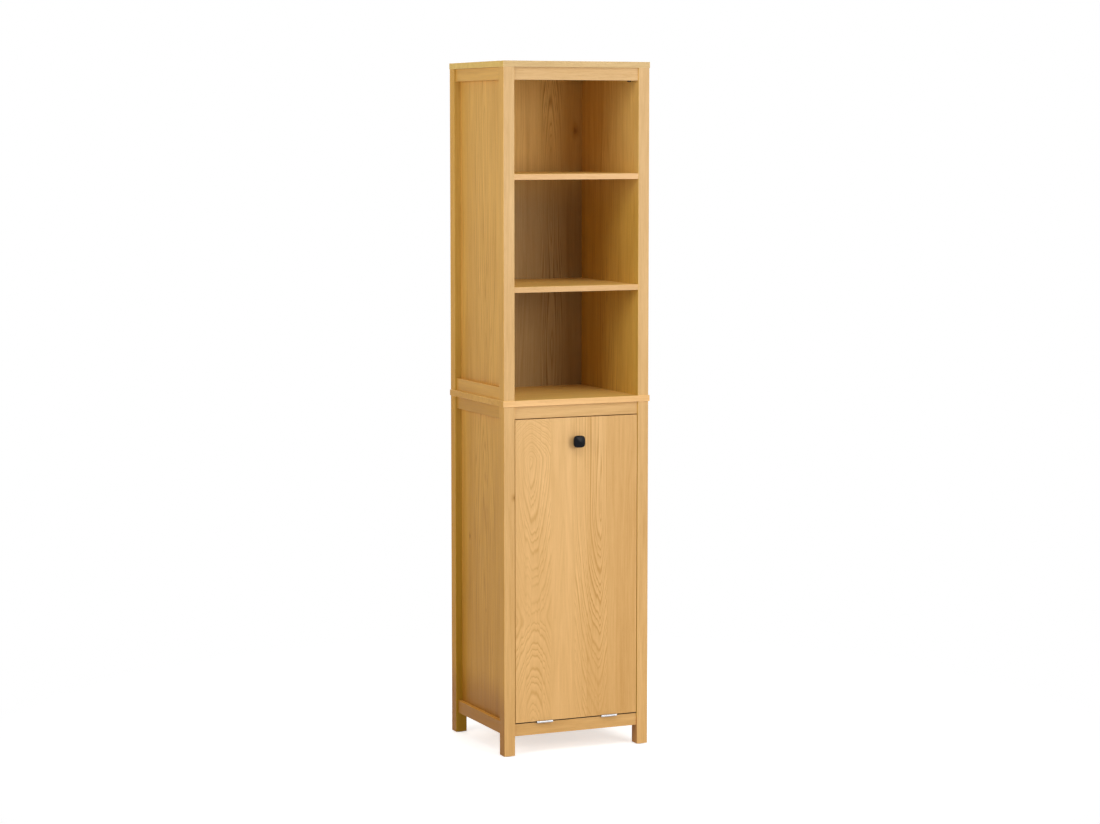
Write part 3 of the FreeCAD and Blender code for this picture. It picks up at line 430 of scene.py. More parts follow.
def with_knot(nodes, level, start, streak, knot):
    """The level with a ragged knot in it, darkest in its heart."""
    x, y, z, radius = knot
    centre = (x * MM, y * MM, z * MM)
    shift = nodes.add("VectorMath", {"operation": "SUBTRACT"}, {0: start, 1: centre})
    drawn = nodes.scaled(shift, KNOT_SHAPE)
    away = nodes.add("VectorMath", {"operation": "LENGTH"}, {0: drawn}, out="Value")
    ragged = away + (streak - 0.5) * (radius * MM)
    level = level - (1 - step(nodes, ragged, (0.0, radius))) * KNOT_DEPTH
    return level - (1 - step(nodes, ragged, (0.0, KNOT_HEART * radius))) * KNOT_HEART_DEPTH


def oak(node, board):
    """Lacquered oak whose grain runs along one axis of the cabinet."""
    low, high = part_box(node)
    nodes = finish(f"oak_{node}")
    start = nodes.place()
    parts = nodes.split(start)
    beside = parts["xyz".index(board.across)]
    swerve = (grain(nodes, start, board.along, SWERVE, 1.0) - 0.5) * (SWERVE_REACH * MM)
    place = moved(nodes, start, board.across, swerve)

    # Veneer strips differ in tone, and their fibres don't meet.
    joints = [(where - STRIP_JOINT, where + STRIP_JOINT) for where, _ in board.strips]
    edges = [step(nodes, beside, joint) for joint in joints]
    shade = sums(edge * change for edge, (_, change) in zip(edges, board.strips))
    jump = sums(edge * (STRIP_JUMP * MM * number) for number, edge in enumerate(edges, start=1))
    if jump is not None:
        place = moved(nodes, place, board.along, jump)

    fibre = grain(nodes, place, board.along, FIBRE, 3.0, 0.6)
    streak = grain(nodes, place, board.along, STREAK, 2.0)
    band = grain(nodes, place, board.along, BAND, 1.0)
    pore = nodes.ease(grain(nodes, place, board.along, PORE, 1.0), *PORE_LIMITS)
    cloud = grain(nodes, place, board.along, CLOUD, 1.0)

    strength = board.contrast
    level = MIDDLE_LEVEL + (band - 0.5) * (BAND_DEPTH * strength)
    level = level + (streak - 0.5) * (STREAK_DEPTH * strength)
    level = level + (fibre - 0.5) * (FIBRE_DEPTH * strength)
    level = level + (cloud - 0.5) * (CLOUD_DEPTH * strength) - pore * PORE_DEPTH
    height = fibre * 0.5 - pore
    if board.figures:
        wobble = (band - 0.5) * BAND_WOBBLE + (streak - 0.5) * STREAK_WOBBLE
        wobble = wobble + (fibre - 0.5) * FIBRE_WOBBLE
        run = parts["xyz".index(board.along)]
        dark, pale = figure_lines(nodes, beside + swerve, run, wobble, board.figures)
        patch = FAINTEST + nodes.ease(cloud, 0.34, 0.62) * (1 - FAINTEST)
        broken = 0.2 + fibre * 1.2
        level = level - dark * patch * broken * DARK_LINE_DEPTH + pale * patch * PALE_LINE_DEPTH
        height = height - dark * 0.4
    if shade is not None:
        level = level + shade
    # Painted light: the board is paler towards one side, where light falls in.
    if board.painted_light_side:
        lit_side, dim_side, paleness = board.painted_light_side
        level = level + (1 - step(nodes, beside, (lit_side, dim_side))) * paleness
    for knot in board.knots:
        level = with_knot(nodes, level, start, streak, knot)
    edge_highlight = edge_light(nodes, parts, low, high)
    # Painted highlight: the edges are paler.
    level = level + edge_highlight * EDGE_HIGHLIGHT_DEPTH

    shares = nodes.mix((*DARK_SHARE, 1), (*LIGHT_SHARE, 1), level)
    shares = nodes.mix(shares, (*DEEP_SHARE, 1), nodes.ease(-level, 0.0, 0.9))
    colour = nodes.scaled(stain(nodes, board, parts), shares)
    if board.raw_behind:
        limits = (board.raw_behind - RAW_EDGE, board.raw_behind + RAW_EDGE)
        raw = nodes.mix(times(RAW_PLY, *DARK_SHARE), RAW_PLY, level)
        colour = nodes.mix(colour, raw, step(nodes, parts[1], limits))
    # The lacquer is rougher over fibres and pores, and rubbed smoother on the edges.
    roughness = 0.46 + (fibre - 0.5) * 0.25 + pore * 0.12 - edge_highlight * 0.06
    return nodes.surface(colour, roughness, height, 0.10 * MM, Specular_IOR_Level=0.16)


# The door's veneer: a loop and arches in its left strip, hanging arches right of its middle.
DOOR_FIGURES = (
    Figure((Loop(-124, 744, 5, 7, 8, 30), Loop(-118, 60, 5.5, 6.5, 21, 60)), -166, -70, 0.8),
    Figure((Loop(66, 600, 5.5, 3, 400, 28),), -4, 86, 1.2),
    Figure((Loop(-40, -200, 12, 12, 190, 160),), -68, -6, 0.25),
    Figure((Loop(190, 300, 15, 15, 300, 300),), 96, 166, 0.25),
)
DOOR_STRIPS = ((-70, 0.06), (-12, -0.09), (28, -0.10), (84, -0.12), (120, -0.06))


def one_figure(side, run, width, above, below, low, high, depth):
    """A single heart with rings as wide to the left as to the right."""
    return (Figure((Loop(side, run, width, width, above, below),), low, high, depth),)


OAK_BOARDS = {
    # The top board's outer ends and its top get tones of their own, painted light and shade.
    "top_board": Board(
        "x", "y", times(BOARD_OAK, 0.86, 0.96, 0.94), outer=screen(232, 194, 106),
        upper=screen(226, 186, 124), figures=one_figure(10, 40, 12, 90, 110, -150, 170, 0.5),
    ),
    "middle_board": Board(
        "x", "y", times(BOARD_OAK, 1.08, 1.10, 1.08), upper=BOARD_TOP_LIT_OAK,
        figures=one_figure(-20, -60, 12, 120, 90, -150, 170, 0.4),
    ),
    "upper_shelf": Board(
        "x", "y", BOARD_OAK, upper=BOARD_TOP_LIT_OAK,
        figures=one_figure(30, -90, 11, 90, 120, -150, 170, 0.4),
    ),
    "lower_shelf": Board(
        "x", "y", times(BOARD_OAK, 0.92, 0.93, 0.92), upper=BOARD_TOP_LIT_OAK,
        figures=one_figure(0, 70, 12, 120, 90, -150, 170, 0.4),
    ),
    "floor_board": Board("x", "y", INNER_SHADED_OAK),
    "door": Board(
        "z", "x", times(FRONT_OAK, 1.09, 1.07, 1.05), DOOR_SHADE_DROP, figures=DOOR_FIGURES,
        strips=DOOR_STRIPS, contrast=0.65, gap_shade="-z",
    ),
    "upper_front_top_rail": Board(
        "x", "z", FRONT_OAK, figures=one_figure(1682, 90, 5, 60, 60, 1674, 1705, 0.4),
    ),
    "lower_front_top_rail": Board("x", "z", FRONT_OAK),
    "lower_front_bottom_rail": Board("x", "z", FRONT_OAK, gap_shade="+z"),
    # The back panel darkens lower down, painted shade, and is paler to the left, painted light.
    "upper_back_panel": Board(
        "z", "x", INNER_SHADED_OAK, BACK_SHADE_DROP, SHELF_HEIGHT,
        figures=(
            Figure((Loop(81.7, 1350, 4, 4, 58, 90), Loop(81.7, 1000, 6, 6, 80, 90)), 52, 112, 1.9),
            Figure((Loop(-60, 1500, 9, 9, 150, 150),), -168, 20, 0.5),
        ),
        strips=((-76, -0.04), (24, 0.04), (124, -0.10)), knots=((151, 175.5, 1549, 17),),
        painted_light_side=(-60, 70, 0.3), raw_behind=177.5,
    ),
    "lower_back_panel": Board(
        "z", "x", INNER_SHADED_OAK, figures=one_figure(-40, 400, 9, 90, 120, -120, 60, 0.6),
        raw_behind=177.5,
    ),
    "lower_side_panel_left": Board(
        "z", "y", SIDE_SHADED_OAK, figures=one_figure(8, 330, 9, 120, 150, -60, 75, 1.0),
        strips=((-62, 0.05), (80, -0.08)), knots=((-180, 100, 520, 7), (-180, -4, 345, 6)),
        contrast=1.35,
    ),
    "lower_side_panel_right": Board(
        "z", "y", SIDE_SHADED_OAK, figures=one_figure(-30, 600, 9, 150, 120, -90, 40, 1.0),
        contrast=1.35,
    ),
    "upper_side_panel_left": Board(
        "z", "y", SIDE_SHADED_OAK, figures=one_figure(-5, 1560, 8, 100, 160, -70, 60, 1.0),
        strips=((70, -0.07),), contrast=1.35,
    ),
    "upper_side_panel_right": Board(
        "z", "y", SIDE_SHADED_OAK, figures=one_figure(20, 1200, 8, 140, 140, -60, 110, 1.0),
        strips=((-40, 0.06),), contrast=1.35,
    ),
}
# The base unit's top side rails, under the middle board's overhang, and its back posts get darker
# tones, painted shade, and its left front post has a knot.
for unit in ("lower", "upper"):
    for side in ("left", "right"):
        for level in ("top", "bottom"):
            shaded = (unit, level) == ("lower", "top")
            outer = times(SIDE_SHADED_OAK, 0.84, 0.80, 0.66) if shaded else SIDE_SHADED_OAK
            rail = f"{unit}_side_{level}_rail_{side}"
            OAK_BOARDS[rail] = Board("y", "z", SIDE_SHADED_OAK, outer=outer)
        knots = ((-170.5, -161, 649.4, 9),) if (unit, side) == ("lower", "left") else ()
        OAK_BOARDS[f"{unit}_post_front_{side}"] = Board("z", "x", FRONT_OAK, knots=knots)
        outer = times(LEG_SHADED_OAK, 0.95, 0.92, 0.60) if unit == "lower" else LEG_SHADED_OAK
        OAK_BOARDS[f"{unit}_post_back_{side}"] = Board(
            "z", "x", SIDE_SHADED_OAK, SIDE_SHADE_DROP, outer=outer, reveal=REVEAL_SHADED_OAK,
        )


# ---------------------------------------------------------------- metal, plastic and cloth

def plated_metal(name, colour, roughness, cloudiness):
    """Plated sheet or wire: a faint cloudy gloss and fine drawing marks."""
    nodes = finish(name)
    place = nodes.place()
    cloud = nodes.noise(nodes.scaled(place, (160.0,) * 3), detail=3.0)
    marks = nodes.noise(nodes.scaled(place, (1800.0, 700.0, 1800.0)), detail=2.0)
    tone = nodes.mix(times(colour, 0.82, 0.82, 0.84), colour, 0.25 + cloud)
    gloss = roughness + (cloud - 0.5) * cloudiness + (marks - 0.5) * 0.08
    return nodes.surface(tone, gloss, marks, 0.02 * MM, Metallic=1.0)


def coated_metal(name, colour):
    """Dark painted zinc casting with a fine satin grain."""
    nodes = finish(name)
    place = nodes.place()
    speckle = nodes.noise(nodes.scaled(place, (2600.0,) * 3), detail=2.0)
    cloud = nodes.noise(nodes.scaled(place, (220.0,) * 3), detail=2.0)
    dark, pale = times(colour, 0.7, 0.7, 0.72), times(colour, 1.3, 1.3, 1.3)
    tone = nodes.mix(dark, pale, speckle * 0.6 + cloud * 0.4)
    gloss = 0.30 + (cloud - 0.5) * 0.14 + (speckle - 0.5) * 0.10
    return nodes.surface(tone, gloss, speckle, 0.03 * MM, Specular_IOR_Level=0.12)


def moulded_plastic(name, colour, roughness):
    """Injection-moulded plastic with a fine spark-eroded texture."""
    nodes = finish(name)
    place = nodes.place()
    texture = nodes.noise(nodes.scaled(place, (2200.0,) * 3), detail=2.0)
    flow = nodes.noise(nodes.scaled(place, (60.0,) * 3), detail=1.0)
    dark, pale = times(colour, 0.88, 0.88, 0.88), times(colour, 1.06, 1.06, 1.06)
    tone = nodes.mix(dark, pale, flow)
    gloss = roughness + (texture - 0.5) * 0.2
    return nodes.surface(tone, gloss, texture, 0.02 * MM, Specular_IOR_Level=0.45)


def beech(name):
    """Turned beech dowel with short dark flecks."""
    nodes = finish(name)
    place = nodes.place()
    fleck = nodes.noise(nodes.scaled(place, (500.0, 900.0, 900.0)), detail=1.0)
    fleck = nodes.ease(fleck, 0.62, 0.75)
    cloud = nodes.noise(nodes.scaled(place, (90.0,) * 3), detail=2.0)
    tone = nodes.mix(screen(206, 170, 128), screen(226, 196, 158), cloud)
    tone = nodes.mix(tone, screen(160, 116, 78), fleck * 0.7)
    return nodes.surface(tone, 0.6 - fleck * 0.1, cloud - fleck, 0.05 * MM)


def canvas(name, thread):
    """Undyed cotton canvas: crossing threads, slubs and a soft sheen."""
    nodes = finish(name)
    place = nodes.place()
    x, y, z = nodes.split(place)
    turns = TAU / thread
    slub = nodes.noise(nodes.scaled(place, (180.0, 180.0, 40.0)), detail=2.0)
    warp = ((x + y) * turns + slub * 2.0).math("SINE") * 0.5 + 0.5
    weft = (z * turns + slub * 2.0).math("SINE") * 0.5 + 0.5
    weave = (warp + weft) * 0.5
    cloud = nodes.noise(nodes.scaled(place, (9.0,) * 3), detail=3.0)
    fleck = nodes.noise(nodes.scaled(place, (700.0, 700.0, 300.0)), detail=1.0)
    fleck = nodes.ease(fleck, 0.66, 0.78)
    tone = nodes.mix(screen(196, 184, 160), screen(224, 215, 196), weave * 0.6 + cloud * 0.5)
    tone = nodes.mix(tone, screen(150, 132, 104), fleck * 0.5)
    height = weave + slub * 0.5
    return nodes.surface(tone, 0.85 - weave * 0.08, height, 0.25 * MM, Sheen_Weight=0.25)


FINISHES = {
    "dowel": beech("beech_dowel"),
    "knob_metal": coated_metal("dark_casting", screen(13, 15, 19)),
    "zinc": plated_metal("bright_zinc", screen(186, 188, 192), 0.34, 0.18),
    "bright_steel": plated_metal("drawn_steel", screen(205, 205, 206), 0.24, 0.12),
    "dark_plastic": moulded_plastic("dark_block", screen(48, 42, 37), 0.5),
    "white_plastic": moulded_plastic("pale_plastic", screen(226, 226, 222), 0.42),
    "ferrite": moulded_plastic("ferrite_magnet", screen(58, 58, 61), 0.6),
    "canvas": canvas("cotton_canvas", 1.1 * MM),
    # Dark crosses for the screws' recesses: painted shade.
    "recess": moulded_plastic("recess_shadow", screen(38, 38, 40), 0.55),
    "thread": moulded_plastic("waxed_thread", screen(150, 132, 104), 0.6),
}
PLAIN_NODES = {
    "post_dowels": "dowel",
    "rail_dowels": "dowel",
    "shelf_dowels": "dowel",
    "knob": "knob_metal",
    "knob_screw": "bright_steel",
    "hinge_frame_leaves": "zinc",
    "hinge_door_leaves": "zinc",
    "hinge_pins": "bright_steel",
    "hinge_frame_screws": "bright_steel",
    "hinge_door_screws": "bright_steel",
    "stay_arm_left": "zinc",
    "stay_arm_right": "zinc",
    "stay_brackets": "zinc",
    "stay_rivets": "bright_steel",
    "stay_studs": "bright_steel",
    "catch_cases": "white_plastic",
    "catch_magnets": "ferrite",
    "catch_screws": "bright_steel",
    "strike_plates": "zinc",
    "door_screws": "bright_steel",
    "bag_hoop": "bright_steel",
    "bag_hoop_tabs": "zinc",
    "laundry_bag": "canvas",
    "corner_blocks": "dark_plastic",
    "corner_block_screws": "bright_steel",
    "wall_bracket": "zinc",
    "wall_bracket_screws": "bright_steel",
    "foot_glides": "white_plastic",
}


def dress(node, material):
    """Gives a carried-over node its material."""
    mesh = frame["nodes"][node].data
    mesh.materials.clear()
    mesh.materials.append(material)


for node, board in OAK_BOARDS.items():
    dress(node, oak(node, board))
for node, kind in PLAIN_NODES.items():
    dress(node, FINISHES[kind])
undressed = set(frame["nodes"]) - set(OAK_BOARDS) - set(PLAIN_NODES)
if undressed:
    raise ValueError(f"nodes without a finish: {sorted(undressed)}")


# ---------------------------------------------------------------- modelled pieces

def new_piece(name, vertices, faces, body, material, smooth_angle):
    """A mesh piece that rides on a body, with smooth faces and sharp edges."""
    mesh = bpy.data.meshes.new(name)
    mesh.from_pydata(vertices, [], faces)
    mesh.validate()
    mesh.polygons.foreach_set("use_smooth", [True] * len(mesh.polygons))
    mesh.set_sharp_from_angle(angle=math.radians(smooth_angle))
    mesh.materials.append(material)
    piece = bpy.data.objects.new(name, mesh)
    bpy.context.scene.collection.objects.link(piece)
    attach(piece, body)
    return piece


def rings_to_faces(rings, count, closed_start=True):
    """Quads between rings of points that follow each other, with the end rings filled."""
    faces = []
    for ring in range(rings - 1):
        here, there = ring * count, (ring + 1) * count
        for i in range(count):
            j = (i + 1) % count
            faces.append((here + i, here + j, there + j, there + i))
    if closed_start:
        faces.append(tuple(reversed(range(count))))
    last = (rings - 1) * count
    faces.append(tuple(range(last, last + count)))
    return faces


def shifted(faces, first):
    """Faces whose points are counted on from a first one."""
    return [tuple(first + index for index in face) for face in faces]


# Knob: a round stem with a foot, and a square head with round corners and a low four-sided point.
KNOB_POINTS = 96
KNOB_SQUARENESS = 3.4
# Depth from the door in mm, half width in mm, and how square the ring is, from 0 for round to 1.
KNOB_RINGS = (
    (0.0, 7.4, 0.0), (0.5, 7.7, 0.0), (1.2, 7.5, 0.0), (1.7, 6.4, 0.0), (2.6, 5.9, 0.0),
    (7.0, 5.7, 0.0), (9.8, 6.0, 0.1), (11.2, 7.4, 0.3), (12.0, 10.4, 0.7), (12.2, 13.4, 0.95),
    (12.7, 14.5, 1.0), (13.6, 15.0, 1.0), (16.5, 15.0, 1.0), (18.9, 14.8, 1.0), (19.7, 14.3, 1.0),
    (20.3, 13.4, 1.0), (20.9, 11.6, 1.0), (22.0, 7.9, 1.0), (23.0, 4.4, 0.95), (23.6, 2.0, 0.8),
    (23.9, 0.7, 0.4),
)


def knob_ring(half, square):
    """A ring of points between a circle and a square with round corners."""
    points = []
    for i in range(KNOB_POINTS):
        turn = TAU * i / KNOB_POINTS
        power = 2 + (KNOB_SQUARENESS - 2) * square
        reach = (abs(math.cos(turn)) ** power + abs(math.sin(turn)) ** power) ** (-1 / power)
        points.append((half * reach * math.cos(turn), half * reach * math.sin(turn)))
    return points


def make_knob():
    low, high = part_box("knob")
    centre_x = (low.x + high.x) / 2
    centre_z = (low.z + high.z) / 2
    vertices = []
    for depth, half, square in KNOB_RINGS:
        for across, rise in knob_ring(half, square):
            vertices.append((centre_x + across * MM, high.y - depth * MM, centre_z + rise * MM))
    faces = rings_to_faces(len(KNOB_RINGS), KNOB_POINTS)
    knob = new_piece("door_knob", vertices, faces, "door", FINISHES["knob_metal"], 60)
    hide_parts("knob")


make_knob()


def lone_boxes(node):
    """The corners of each separate solid in a node that holds several alike."""
    mesh = frame["nodes"][node].data
    keys = [tuple(round(c, 5) for c in vertex.co) for vertex in mesh.vertices]
    owner = {key: key for key in keys}

    def root(key):
        while owner[key] != key:
            key = owner[key]
        return key

    for polygon in mesh.polygons:
        first = root(keys[polygon.vertices[0]])
        for index in polygon.vertices[1:]:
            owner[root(keys[index])] = first
    groups = {}
    for key in owner:
        groups.setdefault(root(key), []).append(key)
    boxes = []
    for points in groups.values():
        corners = [[pick(places) for places in zip(*points)] for pick in (min, max)]
        boxes.append(tuple(Vector(corner) for corner in corners))
    return sorted(boxes, key=lambda box: tuple(box[0]))


# Screws whose heads show: the direction the heads face, and the cross recess's span in mm.
SHOWN_SCREWS = {
    "door_screws": ("+y", 3.2),
    "knob_screw": ("+y", 4.6),
    "catch_screws": ("inward", 3.2),
    "hinge_frame_screws": ("+z", 3.2),
    "hinge_door_screws": ("-z", 3.2),
    "wall_bracket_screws": ("-z", 3.2),
}
RECESS_RISE = 0.03 * MM
RECESS_SINK = 0.4 * MM
# A recess's bars: half their width and where their points start, as shares of the span and arm.
RECESS_BAR = 0.13
RECESS_SHOULDER = 0.9


def cross_outline(span):
    """A cross with pointed arms, as wide and as high as the span."""
    arm = span / 2
    bar = span * RECESS_BAR
    shoulder = arm * RECESS_SHOULDER
    points = []
    for quarter in range(4):
        for u, v in ((bar, bar), (bar, shoulder), (0, arm), (-bar, shoulder)):
            for _ in range(quarter):
                u, v = -v, u
            points.append((u, v))
    return points


def make_recesses(node, heads, span):
    """Dark crosses on the heads of a group of screws: painted shade for their cross recesses."""
    vertices, faces = [], []
    for low, high in lone_boxes(node):
        middle = (low + high) / 2
        inward = "-x" if middle.x > 0 else "+x"
        axis, sign = axis_and_sign(inward if heads == "inward" else heads)
        face = high[axis] if sign > 0 else low[axis]
        across, upright = [i for i in range(3) if i != axis]
        outline = cross_outline(span * MM)
        if (sign > 0) == (axis == 1):
            outline.reverse()
        first = len(vertices)
        for level in (face - sign * RECESS_SINK, face + sign * RECESS_RISE):
            for u, v in outline:
                point = [0.0, 0.0, 0.0]
                point[axis] = level
                point[across] = middle[across] + u
                point[upright] = middle[upright] + v
                vertices.append(tuple(point))
        faces += shifted(rings_to_faces(2, len(outline)), first)
    body = frame["nodes"][node]["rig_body"]
    new_piece(f"{node}_recesses", vertices, faces, body, FINISHES["recess"], 20)


for node, (heads, span) in SHOWN_SCREWS.items():
    make_recesses(node, heads, span)


# ---------------------------------------------------------------- laundry bag

hoop_low, hoop_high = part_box("bag_hoop")
bag_low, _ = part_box("laundry_bag")
WIRE = 5 * MM
HOOP_CORNER = 20 * MM
HOOP_CENTRE = (hoop_low + hoop_high) / 2
HOOP_HALF_X = (hoop_high.x - hoop_low.x) / 2 - WIRE / 2
HOOP_HALF_Y = (hoop_high.y - hoop_low.y) / 2 - WIRE / 2
CLOTH = 1.2 * MM
HEM_REACH = WIRE / 2 + 0.3 * MM + CLOTH / 2
COLUMNS = 132
WALL_ROWS = 34
FLOOR_ROWS = 9
BASE_CORNER = 62 * MM
BASE_PULL = 9 * MM
FLOOR_RISE = 16 * MM
FLOOR_SAG = FLOOR_RISE - 3 * MM
FOLD_DEPTH = 5.5 * MM
# The hem: how far its free edge hangs under the wire, its rows over that edge, and its stitches.
HEM_DROP = 12 * MM
HEM_RISES = (0.0, 4 * MM, 8 * MM)
WIRE_ROWS = 7
HELD_ROWS = len(HEM_RISES) + WIRE_ROWS + 1
HANG_FRAMES = 22
STITCHES = 230
STITCH_DROP = 9 * MM
STITCH_LENGTH = 2.6 * MM
STITCH_HALF = 0.35 * MM
STITCH_RISE = 0.45 * MM
STITCH_CORNERS = 6
# Along a stitch, from 0 to 1: how thick it is there.
STITCH_SWELLS = ((0.0, 0.25), (0.25, 0.9), (0.5, 1.0), (0.75, 0.9), (1.0, 0.25))
TAB_SPANS = [(low.x, high.x) for low, high in lone_boxes("bag_hoop_tabs")]


def near_tab(x, margin):
    """Whether a place across the hoop is within a margin of one of its tabs."""
    return any(low - margin < x < high + margin for low, high in TAB_SPANS)


def around(offset, corner, columns=COLUMNS):
    """Evenly spaced points round the hoop's outline, moved outwards, from behind on the right."""
    half_x = HOOP_HALF_X + offset - corner
    half_y = HOOP_HALF_Y + offset - corner
    runs = []
    centres = ((half_x, half_y), (-half_x, half_y), (-half_x, -half_y), (half_x, -half_y))
    for quarter, (cx, cy) in enumerate(centres):
        straight = 2 * (half_x if quarter % 2 == 0 else half_y)
        runs.append(("bend", cx, cy, quarter * TAU / 4, corner * TAU / 4))
        heading = quarter * TAU / 4 + TAU / 4
        start = (cx + corner * math.cos(heading), cy + corner * math.sin(heading))
        runs.append(("run", *start, heading + TAU / 4, straight))
    total = sum(run[-1] for run in runs)
    points = []
    for i in range(columns):
        left = total * i / columns
        for kind, u, v, angle, length in runs:
            if left <= length:
                break
            left -= length
        if kind == "bend":
            turn = angle + left / corner
            point = (u + corner * math.cos(turn), v + corner * math.sin(turn))
        else:
            point = (u + left * math.cos(angle), v + left * math.sin(angle))
        points.append((HOOP_CENTRE.x + point[0], HOOP_CENTRE.y + point[1]))
    return points


def level_ring(z, offset, corner):
    """A ring of points round the hoop at one height."""
    return [(x, y, z) for x, y in around(offset, corner)]


def bag_rows():
    """The bag's rings, from the hem's free edge over the wire, down the wall, across the floor."""
    rows = []
    z_wire = HOOP_CENTRE.z
    for rise in HEM_RISES:
        rows.append(level_ring(z_wire - HEM_DROP + rise, HEM_REACH, HOOP_CORNER + HEM_REACH))
    for row in range(WIRE_ROWS):
        turn = math.radians(180 * row / (WIRE_ROWS - 1))
        offset = HEM_REACH * math.cos(turn)
        z = z_wire + HEM_REACH * math.sin(turn)
        rows.append(level_ring(z, offset, HOOP_CORNER + offset))
    z_floor = bag_low.z + FLOOR_RISE
    for row in range(1, WALL_ROWS + 1):
        share = row / WALL_ROWS
        sink = share * share * (3 - 2 * share)
        offset = -HEM_REACH - BASE_PULL * sink
        corner = HOOP_CORNER - HEM_REACH + (BASE_CORNER - HOOP_CORNER) * sink
        z = z_wire + (z_floor - z_wire) * share
        ring = []
        for i, (x, y) in enumerate(around(offset, corner)):
            turn = TAU * i / COLUMNS
            fold = math.sin(7 * turn + 0.8) * 0.6 + math.sin(11 * turn + 2.1 + share) * 0.4
            inward = Vector((HOOP_CENTRE.x - x, HOOP_CENTRE.y - y, 0)).normalized()
            depth = FOLD_DEPTH * sink * (1 + fold) / 2
            ring.append((x + inward.x * depth, y + inward.y * depth, z))
        rows.append(ring)
    base = rows[-1]
    for row in range(1, FLOOR_ROWS + 1):
        share = 1 - row / (FLOOR_ROWS + 0.6)
        drop = FLOOR_SAG * (1 - share ** 3)
        ring = []
        for x, y, z in base:
            u = HOOP_CENTRE.x + (x - HOOP_CENTRE.x) * share
            v = HOOP_CENTRE.y + (y - HOOP_CENTRE.y) * share
            ring.append((u, v, z - drop))
        rows.append(ring)
    return rows


def let_hang(piece):
    """Lets the cloth below the hem hang from it under its own weight."""
    held = piece.vertex_groups.new(name="held")
    held.add(list(range(HELD_ROWS * COLUMNS)), 1.0, "ADD")
    cloth = piece.modifiers.new("hang", "CLOTH")
    settings = cloth.settings
    settings.quality = 6
    settings.mass = 0.25
    settings.tension_stiffness = 60
    settings.compression_stiffness = 30
    settings.shear_stiffness = 20
    settings.bending_stiffness = 1.5
    settings.air_damping = 2
    settings.vertex_group_mass = "held"
    cloth.collision_settings.use_self_collision = False
    cloth.point_cache.frame_start = 1
    cloth.point_cache.frame_end = HANG_FRAMES
    scene = bpy.context.scene
    for number in range(1, HANG_FRAMES + 1):
        scene.frame_set(number)
    hung = piece.evaluated_get(bpy.context.evaluated_depsgraph_get())
    places = [vertex.co.copy() for vertex in hung.data.vertices]
    piece.modifiers.remove(cloth)
    piece.vertex_groups.clear()
    scene.frame_set(1)
    for vertex, place in zip(piece.data.vertices, places):
        place.z = max(place.z, bag_low.z + CLOTH)
        vertex.co = place


def trim_for_tabs(piece):
    """Cuts the hem's outer flap away where the hoop's tabs pass under the wire."""
    mesh = bmesh.new()
    mesh.from_mesh(piece.data)
    cut = []
    for face in mesh.faces:
        centre = face.calc_center_median()
        in_front = centre.y < hoop_low.y and centre.z < HOOP_CENTRE.z + 0.5 * MM
        if in_front and near_tab(centre.x, 2 * MM):
            cut.append(face)
    bmesh.ops.delete(mesh, geom=cut, context="FACES")
    mesh.to_mesh(piece.data)
    mesh.free()


def make_bag():
    """The bag's cloth, hemmed round the hoop's wire."""
    rows = bag_rows()
    vertices = [point for row in rows for point in row]
    faces = rings_to_faces(len(rows), COLUMNS, closed_start=False)
    bag = new_piece("hung_laundry_bag", vertices, faces, "door", FINISHES["canvas"], 180)
    let_hang(bag)
    trim_for_tabs(bag)
    thick = bag.modifiers.new("thickness", "SOLIDIFY")
    thick.thickness = CLOTH
    thick.offset = 0
    smooth = bag.modifiers.new("smooth", "SUBSURF")
    smooth.levels = 1
    smooth.render_levels = 1
    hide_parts("laundry_bag")
    return bag


def make_stitches():
    """A row of stitches that hold the hem down, on the outside of the bag."""
    vertices, faces = [], []
    outside = HEM_REACH + CLOTH / 2
    z = HOOP_CENTRE.z - STITCH_DROP
    up = Vector((0, 0, 1))
    spots = around(outside, HOOP_CORNER + outside, columns=STITCHES)
    for i, (x, y) in enumerate(spots):
        if y < hoop_low.y and near_tab(x, 3 * MM):
            continue
        here = Vector((x, y, z))
        after = Vector((*spots[(i + 1) % len(spots)], z))
        run = (after - here).normalized()
        out = run.cross(up)
        first = len(vertices)
        for share, swell in STITCH_SWELLS:
            spine = here + run * (STITCH_LENGTH * share)
            for corner in range(STITCH_CORNERS):
                turn = TAU * corner / STITCH_CORNERS
                away = out * (math.cos(turn) * STITCH_RISE * swell)
                away += up * (math.sin(turn) * STITCH_HALF * swell)
                vertices.append(tuple(spine + away))
        faces += shifted(rings_to_faces(len(STITCH_SWELLS), STITCH_CORNERS), first)
    return new_piece("hem_stitches", vertices, faces, "door", FINISHES["thread"], 60)


bag = make_bag()
stitches = make_stitches()
bag_round = 2 * (2 * HOOP_HALF_X + 2 * HOOP_HALF_Y) - (8 - TAU) * HOOP_CORNER
bag_deep = HOOP_CENTRE.z - bag_low.z
floor_area = 4 * HOOP_HALF_X * HOOP_HALF_Y
bag_round * (bag_deep + 15 * MM) + floor_area


# ---------------------------------------------------------------- floor, light and camera

WHITE = (1, 1, 1, 1)
# The floor: half its side, the share of light it throws back, its own glow, and the distances
# between which it fades into the white background.
FLOOR_HALF = 14.0
FLOOR_GREY = (0.82, 0.82, 0.82, 1)
FLOOR_GLOW = 0.60
FLOOR_FADE = (0.5, 1.5)
# The share of the white surroundings' light that falls on the cabinet.
ROOM_LIGHT = 0.34
# Lens in mm, place in metres, and how far the camera looks down and to its right, in degrees.
LENS = 90.75
CAMERA_PLACE = (-2.8640, -6.3845, 1.5538)
CAMERA_DOWN = 5.821
CAMERA_RIGHT = 24.153


